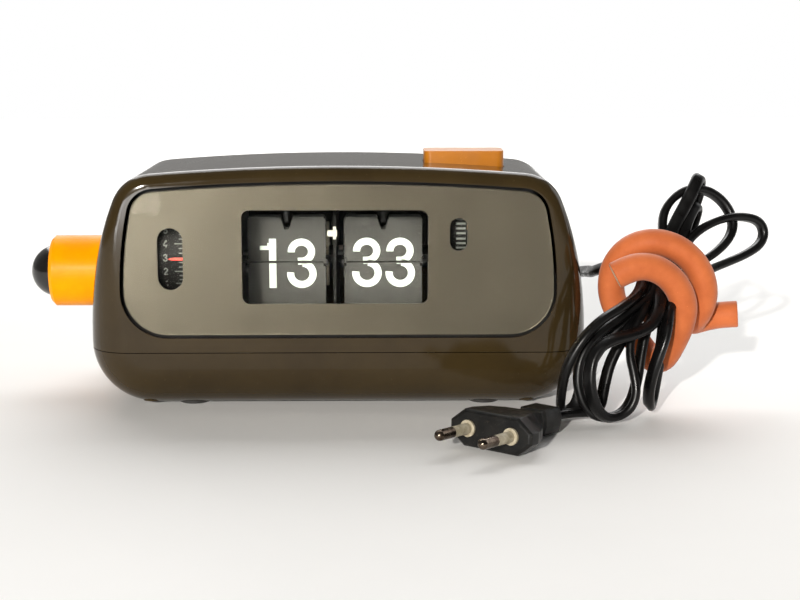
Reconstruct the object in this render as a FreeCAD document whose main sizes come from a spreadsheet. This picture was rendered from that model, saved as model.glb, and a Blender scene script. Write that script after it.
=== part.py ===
import FreeCAD, Part
import Sketcher
import math
import os
import re

os.makedirs("parts", exist_ok=True)

V = FreeCAD.Vector
ALONG_X = FreeCAD.Rotation(V(0, 1, 0), 90)
ALONG_Y = FreeCAD.Rotation(V(1, 0, 0), -90)

# ---------------------------------------------------------------------------------------
# Driving dimensions, millimetres.  +X is the clock's right, +Y its back, +Z up.  The origin
# is on the resting plane, under the middle of the case.  Depths are counted from the front
# of the case, and place() moves them back by half the case's depth.
# ---------------------------------------------------------------------------------------
SIZES = {
    # case
    "case_half_wide": 97.8,
    "case_deep": 88.0,
    "case_high": 92.8,
    "case_wall": 2.4,
    "case_side_bow": 150.0,
    "case_top_bow": 900.0,
    "case_low_round": 25.0,
    "case_corner": 16.5,
    "case_base": -2.3,
    "case_lift": 3.1,
    "front_round_top": 5.0,
    "front_round_side": 16.0,
    "front_round_low": 3.0,
    "rear_round": 6.0,
    "rear_drop": 2.2,
    "parting_level": 20.0,
    "parting_gap": 0.3,
    # front panel, lens and the black shroud behind them
    "panel_half_wide": 83.4,
    "panel_low": 27.2,
    "panel_high": 86.0,
    "panel_low_round": 17.0,
    "panel_corner": 9.5,
    "panel_shift": 0.4,
    "panel_thick": 0.8,
    "panel_front": 1.6,
    "groove_wide": 1.3,
    "lens_thick": 1.0,
    "lens_front": 0.5,
    "shroud_front": 2.7,
    "shroud_thick": 1.3,
    "shroud_deep": 12.0,
    "window_mid": -1.0,
    "window_wide": 72.0,
    "window_low": 39.3,
    "window_high": 75.9,
    "alarm_slot_mid": -64.7,
    "alarm_slot_wide": 9.8,
    "alarm_slot_level": 57.0,
    "alarm_slot_high": 24.2,
    "seconds_slot_mid": 46.8,
    "seconds_slot_wide": 6.8,
    "seconds_slot_level": 66.4,
    "seconds_slot_high": 12.8,
    # flaps
    "split_level": 52.6,
    "hinge_back": 21.5,
    "flap_wide": 31.0,
    "flap_high": 17.8,
    "flap_thick": 0.4,
    "flap_gap": 0.25,
    "hour_flap_left": -36.2,
    "minute_flap_left": 2.2,
    "flap_notch_wide": 5.0,
    "flap_notch_deep": 5.0,
    "flap_pin_radius": 0.45,
    "fit": 0.05,
    "pack_pitch": 0.9,
    # drums and spindle
    "drum_back": 44.0,
    "drum_radius": 12.5,
    "drum_long": 27.0,
    "spindle_radius": 1.5,
    # chassis
    "plate_thick": 1.2,
    "left_plate": -41.0,
    "middle_plate": -2.1,
    "right_plate": 37.2,
    "outer_plate": 60.0,
    "chassis_low": 8.0,
    "chassis_floor": 1.5,
    "plate_front": 17.0,
    "plate_back": 76.0,
    "plate_high": 80.0,
    # seconds wheel and gearing
    "seconds_back": 26.0,
    "seconds_level": 66.0,
    "seconds_radius": 18.0,
    "seconds_left": 43.4,
    "seconds_wide": 7.0,
    "gear_thick": 1.0,
    "gear_layer": 1.3,
    "gear_start": 38.8,
    # motor
    "motor_radius": 22.0,
    "motor_long": 18.0,
    "motor_back": 41.0,
    "motor_level": 44.0,
    # alarm
    "alarm_drum_radius": 21.0,
    "alarm_drum_wide": 12.0,
    "alarm_drum_left": -70.7,
    "alarm_back": 26.0,
    "alarm_level": 57.0,
    # side knobs
    "knob_back": 50.0,
    "knob_level": 44.7,
    "knob_radius": 14.6,
    "knob_outer": -119.0,
    "knob_inner": -97.9,
    "ball_radius": 10.6,
    "ball_outer": -128.0,
    "tube_radius": 4.0,
    "rod_radius": 2.0,
    # top button
    "button_left": 34.2,
    "button_wide": 32.0,
    "button_front": 30.0,
    "button_deep": 16.0,
    "button_top": 96.0,
    "button_high": 9.4,
    # mains lead
    "exit_right": 58.0,
    "exit_level": 11.5,
    "tie_rod": 10.5,
}

doc = FreeCAD.newDocument("flip_clock")
sheet = doc.addObject("Spreadsheet::Sheet", "Sizes")
for row, (alias, value) in enumerate(SIZES.items(), start=1):
    sheet.set(f"A{row}", alias)
    sheet.set(f"B{row}", str(value))
    sheet.setAlias(f"B{row}", alias)
doc.recompute()

nodes = []


def mm(alias):
    """The value of one cell of the sheet."""
    return float(sheet.get(alias))


def bind(thing, prop, formula):
    """Bind a property to a formula written with the sheet's aliases."""
    thing.setExpression(prop, re.sub(r"\b[a-z]+(?:_[a-z]+)+\b|\bfit\b", r"Sizes.\g<0>", str(formula)))


def place(thing, start, turn=None):
    """Turn a shape, then bind the place of its own origin to three formulas."""
    if turn is not None:
        thing.Placement = FreeCAD.Placement(V(0, 0, 0), turn)
    across, depth, level = start
    bind(thing, "Placement.Base.x", across)
    bind(thing, "Placement.Base.y", f"{depth} - case_deep / 2")
    bind(thing, "Placement.Base.z", f"{level} + case_lift")
    return thing


def node(thing, name):
    """Give a finished sub-part its label, which is its file's name too."""
    thing.Label = name
    nodes.append(thing)
    return thing


def box(name, start, lengths):
    """A block from its low corner and its three lengths."""
    block = doc.addObject("Part::Box", name)
    for prop, formula in zip(("Length", "Width", "Height"), lengths):
        bind(block, prop, formula)
    return place(block, start)


def rod(name, start, radius, length, turn=ALONG_X):
    """A round rod from the middle of one end, along X unless turned otherwise."""
    bar = doc.addObject("Part::Cylinder", name)
    bind(bar, "Radius", radius)
    bind(bar, "Height", length)
    return place(bar, start, turn)


def fuse(name, *shapes):
    """One solid of several that touch or overlap."""
    joined = doc.addObject("Part::MultiFuse", name)
    joined.Shapes = list(shapes)
    joined.Refine = True
    return joined


def cut(name, base, *tools):
    """A shape less one or more tools."""
    result = doc.addObject("Part::Cut", name)
    result.Base = base
    result.Tool = tools[0] if len(tools) == 1 else fuse(name + "_tools", *tools)
    return result


def common(name, first, second):
    """What two shapes share."""
    result = doc.addObject("Part::Common", name)
    result.Base = first
    result.Tool = second
    return result


def group(name, *shapes):
    """Several separate solids that share one node."""
    together = doc.addObject("Part::Compound", name)
    together.Links = list(shapes)
    return together


def feature(name, shape):
    """A shape worked out in this script, for forms that no primitive or sketch suits."""
    thing = doc.addObject("Part::Feature", name)
    thing.Shape = shape
    back = FreeCAD.Placement(V(0, -mm("case_deep") / 2, mm("case_lift")), FreeCAD.Rotation())
    thing.Placement = back.multiply(shape.Placement)
    return thing


def sketch_on(body, role, points):
    """A closed outline of straight lines, each corner bound by two dimensions."""
    drawing = body.newObject("Sketcher::SketchObject", body.Name + "_outline")
    plane = [f for f in body.Origin.OriginFeatures if f.Role == role][0]
    drawing.AttachmentSupport = [(plane, "")]
    drawing.MapMode = "FlatFace"
    count = len(points)
    for index in range(count):
        here = V(index, 0.5 * index * index + 1, 0)
        there = V(index + 1, index + 2, 0)
        drawing.addGeometry(Part.LineSegment(here, there), False)
    for index in range(count):
        drawing.addConstraint(Sketcher.Constraint("Coincident", index, 2, (index + 1) % count, 1))
    for index, (across, along) in enumerate(points):
        for kind, formula in (("DistanceX", across), ("DistanceY", along)):
            number = drawing.addConstraint(Sketcher.Constraint(kind, -1, 1, index, 1, 1.0))
            bind(drawing, f"Constraints[{number}]", formula)
    return drawing


def turned(name, profile, centre):
    """A turned piece about an axis along X: its profile is (x, radius) corners."""
    body = doc.addObject("PartDesign::Body", name)
    drawing = sketch_on(body, "XZ_Plane", profile)
    lathe = body.newObject("PartDesign::Revolution", name + "_turned")
    lathe.Profile = drawing
    lathe.ReferenceAxis = (drawing, ["H_Axis"])
    lathe.Angle = 360
    body.Tip = lathe
    return place(body, ("0",) + centre)


def padded(name, role, outline, length, start):
    """A plate made by padding an outline on one of its own origin planes."""
    body = doc.addObject("PartDesign::Body", name)
    drawing = sketch_on(body, role, outline)
    pad = body.newObject("PartDesign::Pad", name + "_pad")
    pad.Profile = drawing
    bind(pad, "Length", length)
    body.Tip = pad
    return place(body, start)


# ---------------------------------------------------------------------------------------
# Shared forms
# ---------------------------------------------------------------------------------------
def front_outline(half_wide, low, high, low_round, corner, shift=0.0):
    """The bow-sided outline of the case and its panel, as a face in the front plane.

    Each side leaves a round bottom corner, leans inwards on the side bow and meets the top
    bow through a smaller round corner that is tangent to both.
    """
    side_bow = mm("case_side_bow")
    top_bow = mm("case_top_bow")
    side = (half_wide - side_bow, low + low_round)
    top = (0.0, high - top_bow)
    reach_side = side_bow - corner
    reach_top = top_bow - corner
    gap = math.hypot(top[0] - side[0], top[1] - side[1])
    along = (reach_side**2 - reach_top**2 + gap**2) / (2 * gap)
    off = math.sqrt(reach_side**2 - along**2)
    ux, uz = (top[0] - side[0]) / gap, (top[1] - side[1]) / gap
    corner_mid = (side[0] + along * ux - off * uz, side[1] + along * uz + off * ux)

    def on_circle(centre, radius, toward):
        length = math.hypot(toward[0] - centre[0], toward[1] - centre[1])
        scale = radius / length
        return (
            centre[0] + (toward[0] - centre[0]) * scale,
            centre[1] + (toward[1] - centre[1]) * scale,
        )

    def halfway(centre, radius, first, last):
        return on_circle(centre, radius, ((first[0] + last[0]) / 2, (first[1] + last[1]) / 2))

    foot = (half_wide - low_round, low)
    widest = (half_wide, low + low_round)
    side_end = on_circle(side, side_bow, corner_mid)
    top_end = on_circle(top, top_bow, corner_mid)
    low_mid = (half_wide - low_round, low + low_round)
    arcs = (
        (foot, halfway(low_mid, low_round, foot, widest), widest),
        (widest, halfway(side, side_bow, widest, side_end), side_end),
        (side_end, halfway(corner_mid, corner, side_end, top_end), top_end),
    )
    edges = [Part.LineSegment(V(shift - foot[0], 0, low), V(shift + foot[0], 0, low)).toShape()]
    for mirror in (1, -1):
        for arc in arcs:
            edges.append(Part.Arc(*[V(shift + mirror * x, 0, z) for x, z in arc]).toShape())
    left_top = V(shift - top_end[0], 0, top_end[1])
    right_top = V(shift + top_end[0], 0, top_end[1])
    edges.append(Part.Arc(left_top, V(shift, 0, high), right_top).toShape())
    return Part.Face(Part.Wire(Part.__sortEdges__(edges)))


def case_form(name, inset):
    """The case as a closed solid, set in all round by a distance, with every edge rounded."""
    face = front_outline(
        mm("case_half_wide") - inset,
        mm("case_base") + inset,
        mm("case_high") - inset,
        mm("case_low_round") - inset,
        mm("case_corner") - inset,
    )
    face.translate(V(0, inset, 0))
    rear = front_outline(
        mm("case_half_wide") - inset,
        mm("case_base") + inset,
        mm("case_high") - mm("rear_drop") - inset,
        mm("case_low_round") - inset,
        mm("case_corner") - inset,
    )
    rear.translate(V(0, mm("case_deep") - inset, 0))
    blank = feature(name + "_blank", Part.makeLoft([face.OuterWire, rear.OuterWire], True, True))
    low = mm("case_base") + inset
    widest = mm("case_base") + mm("case_low_round")

    def front_round(point):
        if point.z < low + 0.01:
            return mm("front_round_low") - inset
        if point.z < widest + mm("case_side_bow") * 0.4:
            return mm("front_round_side") - inset
        return mm("front_round_top") - inset

    rounds = []
    middle = mm("case_deep") / 4
    for number, edge in enumerate(blank.Shape.Edges, start=1):
        first = edge.valueAt(edge.FirstParameter)
        last = edge.valueAt(edge.LastParameter)
        if max(first.y, last.y) - min(first.y, last.y) > 1:
            continue
        if first.y < middle:
            rounds.append((number, front_round(first), front_round(last)))
        else:
            rounds.append((number, mm("rear_round") - inset, mm("rear_round") - inset))
    rounded = doc.addObject("Part::Fillet", name)
    rounded.Base = blank
    rounded.Edges = rounds
    return rounded


def panel_slab(name, grow, front, thick):
    """A slab with the front panel's outline, grown all round by a distance."""
    face = front_outline(
        mm("panel_half_wide") + grow,
        mm("panel_low") - grow,
        mm("panel_high") + grow,
        mm("panel_low_round") + grow,
        mm("panel_corner") + grow,
        mm("panel_shift"),
    )
    face.translate(V(0, front, 0))
    return feature(name, face.extrude(V(0, thick, 0)))


def slot(name, middle, level, wide, high, front, deep):
    """An upright slot with round ends: two rods along Y and the block between them."""
    drop = f"({high} - {wide}) / 2"
    lower = rod(name + "_low", (middle, front, f"{level} - {drop}"), f"{wide} / 2", deep, ALONG_Y)
    upper = rod(name + "_top", (middle, front, f"{level} + {drop}"), f"{wide} / 2", deep, ALONG_Y)
    start = (f"{middle} - {wide} / 2", front, f"{level} - {drop}")
    return fuse(name, lower, upper, box(name + "_mid", start, (wide, deep, f"{high} - {wide}")))


def window(name, grow, front, deep, corner):
    """The main window's rounded opening, grown all round by a distance."""
    wide = mm("window_wide") + 2 * grow
    high = mm("window_high") - mm("window_low") + 2 * grow
    low_left = V(mm("window_mid") - wide / 2, front, mm("window_low") - grow)
    block = Part.makeBox(wide, deep, high, low_left)
    upright = [e for e in block.Edges if abs(e.tangentAt(e.FirstParameter).y) > 0.9]
    return feature(name, block.makeFillet(corner, upright))


PRESSURE_ANGLE = math.radians(25)
TOOTH_ADDENDUM = 0.9
TOOTH_ROOT = 1.25
TOOTH_SLACK = 0.86


def gear(name, teeth, module, left, centre, phase, bore):
    """A spur gear on an axis along X, its first tooth pointing at the phase angle."""
    pitch = teeth * module / 2
    base = pitch * math.cos(PRESSURE_ANGLE)
    root = pitch - TOOTH_ROOT * module
    tip = pitch + TOOTH_ADDENDUM * module

    def involute(radius):
        angle = math.acos(min(1.0, base / radius))
        return math.tan(angle) - angle

    half_pitch = TOOTH_SLACK * math.pi / (2 * teeth)
    start = max(base, root + 0.05 * module)

    def half_angle(radius):
        return half_pitch + involute(pitch) - involute(radius)

    flank = [(root, half_angle(start))]
    for share in (0.0, 0.4, 0.75, 1.0):
        radius = start + (tip - start) * share
        flank.append((radius, half_angle(radius)))
    points = []
    for tooth in range(teeth):
        middle = phase + 2 * math.pi * tooth / teeth
        for radius, angle in flank:
            points.append((radius, middle - angle))
        for radius, angle in reversed(flank):
            points.append((radius, middle + angle))
    corners = [
        V(left, centre[0] + r * math.cos(a), centre[1] + r * math.sin(a)) for r, a in points
    ]
    face = Part.Face(Part.makePolygon(corners + corners[:1]))
    hole = Part.makeCylinder(bore, mm("gear_thick"), V(left, centre[0], centre[1]), V(1, 0, 0))
    return feature(name, face.extrude(V(mm("gear_thick"), 0, 0)).cut(hole))


def heading(start, end):
    """The angle from one shaft to another in the (depth, level) plane."""
    return math.atan2(end[1] - start[1], end[0] - start[0])


def gap_phase(start, end, teeth):
    """The phase that puts a gap, not a tooth, towards the other shaft."""
    return heading(start, end) + math.pi / teeth


def third_shaft(first, first_reach, last, last_reach):
    """The place of a shaft at given distances from two others, on the back side."""
    gap = math.dist(first, last)
    along = (first_reach**2 - last_reach**2 + gap**2) / (2 * gap)
    off = math.sqrt(first_reach**2 - along**2)
    ux, uz = (last[0] - first[0]) / gap, (last[1] - first[1]) / gap
    one = (first[0] + along * ux - off * uz, first[1] + along * uz + off * ux)
    other = (first[0] + along * ux + off * uz, first[1] + along * uz - off * ux)
    return max(one, other)


# ---------------------------------------------------------------------------------------
# Case: lower pan, upper hood, panel, lens, shroud, feet and screws
# ---------------------------------------------------------------------------------------
wall = mm("case_wall")
outer = case_form("case_outer", 0.0)
inner = case_form("case_inner", wall)
liner = case_form("case_liner", wall + 0.3)
doc.recompute()

BOSSES = [(side, depth) for side in (-74.5, 74.5) for depth in (12.5, 74.0)]
BOSS_RADIUS = 3.5
SCREW_RADIUS = 1.5
SCREW_HEAD = 2.8

shell = cut("case_shell", outer, inner)
lower_half = box("lower_space", ("-120", "-5", "-9"), ("240", "120", "9 + parting_level"))
lower_ring = common("lower_ring", shell, lower_half)
columns = [
    rod(f"column_{i}", (x, y, "case_base + 1"), BOSS_RADIUS, "parting_level - case_base - 1", None)
    for i, (x, y) in enumerate(BOSSES)
]
screw_holes = [
    rod(f"lower_hole_{i}", (x, y, "-1 - case_lift"), SCREW_RADIUS + 0.2, "33", None)
    for i, (x, y) in enumerate(BOSSES)
]
head_holes = [
    rod(f"head_hole_{i}", (x, y, "-1 - case_lift"), SCREW_HEAD + 0.2, "4.5", None)
    for i, (x, y) in enumerate(BOSSES)
]
STANDOFFS = [(side, depth) for side in (-60, 50) for depth in (20, 70)]
standoffs = [
    rod(f"standoff_{i}", (x, y, "case_base + 1"), 3.0, "chassis_low - case_base - 1", None)
    for i, (x, y) in enumerate(STANDOFFS)
]
exit_hole = rod("exit_hole", ("exit_right", "case_deep - 8", "exit_level"), 4.0, "12", ALONG_Y)
foot_seats = []
FEET = [(side, depth) for side in (-58.0, 58.0) for depth in (18.0, 70.0)]
for i, (x, y) in enumerate(FEET):
    seat_start = (x, y, "-1 - case_lift")
    foot_seats.append(rod(f"foot_seat_{i}", seat_start, 6.0, "1 + case_lift + case_base + 0.8", None))
lower_shell = cut(
    "lower_shell_form",
    fuse("lower_blank", lower_ring, *columns, *standoffs),
    *screw_holes,
    *head_holes,
    *foot_seats,
    exit_hole,
)
node(lower_shell, "lower_shell")

feet = [
    rod(f"foot_{i}", (x, y, "-case_lift"), 6.0, "case_base + case_lift + 0.8", None)
    for i, (x, y) in enumerate(FEET)
]
node(group("feet_group", *feet), "rubber_feet")

upper_start = ("-120", "-5", "parting_level + parting_gap")
upper_half = box("upper_space", upper_start, ("240", "120", "100"))
upper_ring = common("upper_ring", shell, upper_half)
hood_posts = [
    rod(f"hood_post_{i}", (x, y, "parting_level + parting_gap"), BOSS_RADIUS, "70", None)
    for i, (x, y) in enumerate(BOSSES)
]
hood_posts_trimmed = common("hood_posts_trimmed", fuse("hood_posts", *hood_posts), outer)
hood_holes = [
    rod(f"hood_hole_{i}", (x, y, "parting_level - 1"), SCREW_RADIUS, "16", None)
    for i, (x, y) in enumerate(BOSSES)
]
panel_opening = panel_slab("panel_opening", mm("groove_wide"), -5, 12)
button_well = box(
    "button_well",
    ("button_left - 0.3", "button_front - 0.3", "80"),
    ("button_wide + 0.6", "button_deep + 0.6", "20"),
)
knob_seat = rod("knob_seat", ("-97.4", "knob_back", "knob_level"), "12.5", "8")
knob_hole = rod("knob_hole", ("-105", "knob_back", "knob_level"), "tube_radius + 0.6", "20")
vents = [
    box(f"vent_{i}", (-42 + 12 * i, "case_deep - 8", 42), (2.4, 12, 30)) for i in range(8)
]
upper_shell = cut(
    "upper_shell_form",
    fuse("upper_blank", upper_ring, knob_seat, hood_posts_trimmed),
    panel_opening,
    button_well,
    knob_hole,
    *hood_holes,
    *vents,
)
node(upper_shell, "upper_shell")

screws = []
for i, (x, y) in enumerate(BOSSES):
    head = rod(f"screw_head_{i}", (x, y, "1.6 - case_lift"), SCREW_HEAD, "1.9", None)
    shank = rod(f"screw_shank_{i}", (x, y, "3.5 - case_lift"), SCREW_RADIUS, "30", None)
    slot_cut = box(f"screw_slot_{i}", (x - 3, f"{y} - 0.4", "1 - case_lift"), (6, 0.8, 1.5))
    screws.append(cut(f"screw_{i}", fuse(f"screw_blank_{i}", head, shank), slot_cut))
node(group("screws_group", *screws), "case_screws")


def windows_cut(prefix, grow, front, deep):
    """The three openings that panel and shroud share."""
    alarm = slot(
        prefix + "_alarm",
        "alarm_slot_mid",
        "alarm_slot_level",
        f"(alarm_slot_wide + {2 * grow})",
        f"(alarm_slot_high + {2 * grow})",
        front,
        deep,
    )
    seconds = slot(
        prefix + "_seconds",
        "seconds_slot_mid",
        "seconds_slot_level",
        f"(seconds_slot_wide + {2 * grow})",
        f"(seconds_slot_high + {2 * grow})",
        front,
        deep,
    )
    return alarm, seconds, window(prefix + "_time", grow, front, deep, 3.0 + grow)


panel_blank = panel_slab("panel_blank", 0.0, mm("panel_front"), mm("panel_thick"))
node(cut("front_panel_form", panel_blank, *windows_cut("panel", 0.0, 0, 6)), "front_panel")
node(panel_slab("lens_form", 0.0, mm("lens_front"), mm("lens_thick")), "panel_lens")

shroud_plate = common(
    "shroud_plate",
    panel_slab("shroud_blank", 4.0, mm("shroud_front"), mm("shroud_thick")),
    liner,
)
tunnel_start = ("window_mid - window_wide / 2 - 2.5", "shroud_front + 0.5", "window_low - 4.6")
tunnel_size = ("window_wide + 5", "shroud_deep", "window_high - window_low + 6.6")
tunnel_outer = box("tunnel_outer", tunnel_start, tunnel_size)
hollow_start = ("window_mid - window_wide / 2 - 1.6", "shroud_front + shroud_thick", "window_low - 3.7")
hollow_size = ("window_wide + 3.2", "shroud_deep + 5", "window_high - window_low + 4.8")
tunnel_hollow = box("tunnel_hollow", hollow_start, hollow_size)
shroud = cut(
    "shroud_form",
    fuse("shroud_solid", shroud_plate, tunnel_outer),
    tunnel_hollow,
    *windows_cut("shroud", 0.6, 0, 6),
)
node(shroud, "window_shroud")

pointer_start = ("alarm_slot_mid - alarm_slot_wide / 2 - 2", "panel_front + panel_thick", "alarm_level - 0.5")
node(box("pointer_form", pointer_start, ("alarm_slot_wide + 4", "0.25", "0.8")), "alarm_pointer")

# ---------------------------------------------------------------------------------------
# Chassis: floor, four upright plates, posts, screws
# ---------------------------------------------------------------------------------------
floor_plate = box("floor_blank", (-68, 14, "chassis_low"), (136, 60, "chassis_floor"))
floor_holes = [
    rod(f"floor_hole_{i}", (x, y, "chassis_low - 1"), 1.3, "4", None)
    for i, (x, y) in enumerate(STANDOFFS)
]
node(cut("floor_form", floor_plate, *floor_holes), "chassis_floor")
floor_screws = []
for i, (x, y) in enumerate(STANDOFFS):
    head = rod(f"floor_head_{i}", (x, y, "chassis_low + chassis_floor"), 2.6, "1.6", None)
    shank = rod(f"floor_shank_{i}", (x, y, "chassis_low"), 1.3, "chassis_floor", None)
    floor_screws.append(fuse(f"floor_screw_{i}", head, shank))

spindle = (mm("drum_back"), mm("split_level"))
seconds = (mm("seconds_back"), mm("seconds_level"))
SHAFT = 1.2
MODULE = 0.5
TRAIN_REACH = (12 + 48) * MODULE / 2
MINUTE_REACH = (12 + 45) * MODULE / 2
ARBOR_A_BACK = 14.6
arbor_a = (seconds[0] + ARBOR_A_BACK, seconds[1] + math.sqrt(TRAIN_REACH**2 - ARBOR_A_BACK**2))
arbor_b = third_shaft(arbor_a, TRAIN_REACH, spindle, MINUTE_REACH)
motor_shaft = (seconds[0] + 10.0, seconds[1] - math.sqrt(TRAIN_REACH**2 - 100.0))
lay_shaft = (spindle[0] + TRAIN_REACH, spindle[1])
alarm = (mm("alarm_back"), mm("alarm_level"))
knob = (mm("knob_back"), mm("knob_level"))
POSTS = ((22.0, 16.0), (70.0, 16.0), (70.0, 75.0))


def chassis_plate(name, left, bores):
    """An upright plate across X, with one hole for each (depth, level, radius)."""
    outline = [
        ("plate_front", "chassis_low + chassis_floor"),
        ("plate_back", "chassis_low + chassis_floor"),
        ("plate_back", "plate_high"),
        ("plate_front + 8", "plate_high"),
        ("plate_front", "plate_high - 8"),
    ]
    plate = padded(name + "_sheet", "YZ_Plane", outline, "plate_thick", (left, "0", "0"))
    tools = [
        rod(f"{name}_bore_{i}", (f"{left} - 1", y, z), radius, "plate_thick + 2")
        for i, (y, z, radius) in enumerate(bores)
    ]
    return node(cut(name + "_form", plate, *tools), name)


post_bores = [(y, z, 1.5) for y, z in POSTS]
fit = mm("fit")
chassis_plate("frame_left", "left_plate", post_bores + [(*spindle, 1.5), (*knob, 2.0 + fit), (*alarm, 1.5)])
HOOK_RAIL = (31.0, 77.5)
middle_bores = [(*spindle, 1.5), (*lay_shaft, SHAFT + fit), (*HOOK_RAIL, 1.3)]
chassis_plate("frame_middle", "middle_plate", post_bores + middle_bores)
chassis_plate(
    "frame_right",
    "right_plate",
    post_bores
    + [(*spindle, 3.6), (*seconds, SHAFT + fit), (*arbor_a, SHAFT + fit), (*arbor_b, SHAFT + fit)],
)
chassis_plate(
    "frame_outer",
    "outer_plate",
    [(y, z, 1.5) for y, z in POSTS[:2]] + [(*seconds, SHAFT + fit), (*motor_shaft, 2.2)],
)

SPANS = (
    ("left_plate", "middle_plate"),
    ("middle_plate", "right_plate"),
    ("right_plate", "outer_plate"),
)
posts = []
for i, (first, last) in enumerate(SPANS):
    for j, (y, z) in enumerate(POSTS[: 2 if last == "outer_plate" else 3]):
        length = f"{last} - {first} - plate_thick"
        posts.append(rod(f"post_{i}_{j}", (f"{first} + plate_thick", y, z), 2.5, length))
node(group("posts_group", *posts), "frame_posts")
post_screws = []
for j, (y, z) in enumerate(POSTS):
    head = rod(f"post_head_{j}", ("left_plate - 1.4", y, z), 2.6, "1.4")
    shank = rod(f"post_shank_{j}", ("left_plate", y, z), 1.5, "plate_thick")
    post_screws.append(fuse(f"post_screw_{j}", head, shank))
node(group("frame_screw_group", *floor_screws, *post_screws), "frame_screws")

# ---------------------------------------------------------------------------------------
# Flaps: a falling flap, a standing lower flap and the pack behind them, for each drum
# ---------------------------------------------------------------------------------------
def flap_plate(name, left, low, depth, notch):
    """One flap: a thin plate with clipped corners, with or without the hook's notch."""
    right = f"{left} + flap_wide"
    middle = f"{left} + flap_wide / 2"
    top = f"{low} + flap_high"
    outline = [(f"{left} + 0.9", low), (f"{right} - 0.9", low)]
    outline += [(f"{right} - 0.9", f"{low} + 1.5"), (right, f"{low} + 1.5")]
    outline += [(right, f"{top} - 1"), (f"{right} - 1", top)]
    if notch:
        outline += [(f"{middle} + flap_notch_wide / 2", top)]
        outline += [(f"{middle} + 0.9", f"{top} - flap_notch_deep")]
        outline += [(f"{middle} - 0.9", f"{top} - flap_notch_deep")]
        outline += [(f"{middle} - flap_notch_wide / 2", top)]
    outline += [(f"{left} + 1", top), (left, f"{top} - 1")]
    outline += [(left, f"{low} + 1.5"), (f"{left} + 0.9", f"{low} + 1.5")]
    return padded(name, "XZ_Plane", outline, "flap_thick", ("0", f"{depth} + flap_thick", "0"))


PACK_COUNT = 8
for prefix in ("hour", "minute"):
    left = prefix + "_flap_left"
    plate = flap_plate(prefix + "_flap_sheet", left, "split_level + flap_gap", "hinge_back + 0.2", True)
    parts = [plate]
    for side, start in (("left", f"{left} - 1.1"), ("right", f"{left} + flap_wide - 0.9")):
        pin_start = (start, "hinge_back", "split_level")
        parts.append(rod(f"{prefix}_pin_{side}", pin_start, "flap_pin_radius", "2"))
    for side, start in (("left", left), ("right", f"{left} + flap_wide - 0.9")):
        corner = (start, "hinge_back - 0.4", "split_level - 0.45")
        parts.append(box(f"{prefix}_ear_{side}", corner, ("0.9", "1", "2.05")))
    node(fuse(prefix + "_flap_form", *parts), prefix + "_flap_front")
    pack = []
    for i in range(PACK_COUNT):
        depth = f"hinge_back + 1.1 + pack_pitch * {i}"
        pack.append(flap_plate(f"{prefix}_upper_{i}", left, "split_level + flap_gap", depth, True))
    node(group(prefix + "_upper_group", *pack), prefix + "_flaps_waiting")
    pack = []
    for i in range(PACK_COUNT):
        depth = f"hinge_back + 0.2 + pack_pitch * {i}"
        sheet_part = flap_plate(f"{prefix}_lower_{i}", left, "0 - split_level + flap_gap", depth, False)
        sheet_part.Placement.Rotation = FreeCAD.Rotation(V(0, 1, 0), 180)
        bind(sheet_part, "Placement.Base.x", f"2 * {left} + flap_wide")
        pack.append(sheet_part)
    node(group(prefix + "_lower_group", *pack), prefix + "_flaps_fallen")

for prefix, first, last in (
    ("hour", "left_plate + plate_thick", "middle_plate"),
    ("minute", "middle_plate + plate_thick", "right_plate"),
):
    left = prefix + "_flap_left"
    rail_start = (first, "hinge_back + 8.1", "split_level - 1.5")
    rail = box(prefix + "_rail", rail_start, (f"{last} - ({first})", "0.9", "3"))
    arms = []
    bores = []
    for side, start in (("left", f"{left} - 0.95"), ("right", f"{left} + flap_wide + 0.15")):
        corner = (start, "hinge_back - 1", "split_level - 1.2")
        arms.append(box(f"{prefix}_arm_{side}", corner, ("0.8", "9.6", "2.4")))
        hole_start = (f"{start} - 1", "hinge_back", "split_level")
        bores.append(rod(f"{prefix}_arm_bore_{side}", hole_start, "flap_pin_radius + fit", "3"))
    carrier = cut(prefix + "_carrier_form", fuse(prefix + "_carrier", rail, *arms), *bores)
    node(carrier, prefix + "_hinge_carrier")

rail_length = "right_plate - left_plate - plate_thick"
hook_rail = rod("hook_rail", ("left_plate + plate_thick", *HOOK_RAIL), 1.3, rail_length)
hooks = [hook_rail]
HOOK_WIDE = 1.4
for prefix in ("hour", "minute"):
    middle = f"{prefix}_flap_left + flap_wide / 2 - {HOOK_WIDE / 2}"
    top_strip = box(prefix + "_hook_top", (middle, "hinge_back - 0.5", 76), (HOOK_WIDE, "10", 0.4))
    tip_strip = box(prefix + "_hook_tip", (middle, "hinge_back - 0.5", 69), (HOOK_WIDE, 0.4, 7.2))
    hooks += [top_strip, tip_strip]
node(fuse("hooks_form", *hooks), "flap_hooks")
tab_post = box("tab_post", ("middle_plate", "plate_front - 0.9", "62.5"), ("plate_thick", "0.9", "5"))
tab_head = box("tab_head", ("middle_plate - 2.2", "plate_front - 1.9", "63.8"), ("3.8", "1", "2.4"))
node(fuse("tab_form", tab_post, tab_head), "centre_catch")

# ---------------------------------------------------------------------------------------
# Drums, seconds wheel and the gear train between them
# ---------------------------------------------------------------------------------------
SPOKE_COUNT = 12


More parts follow.
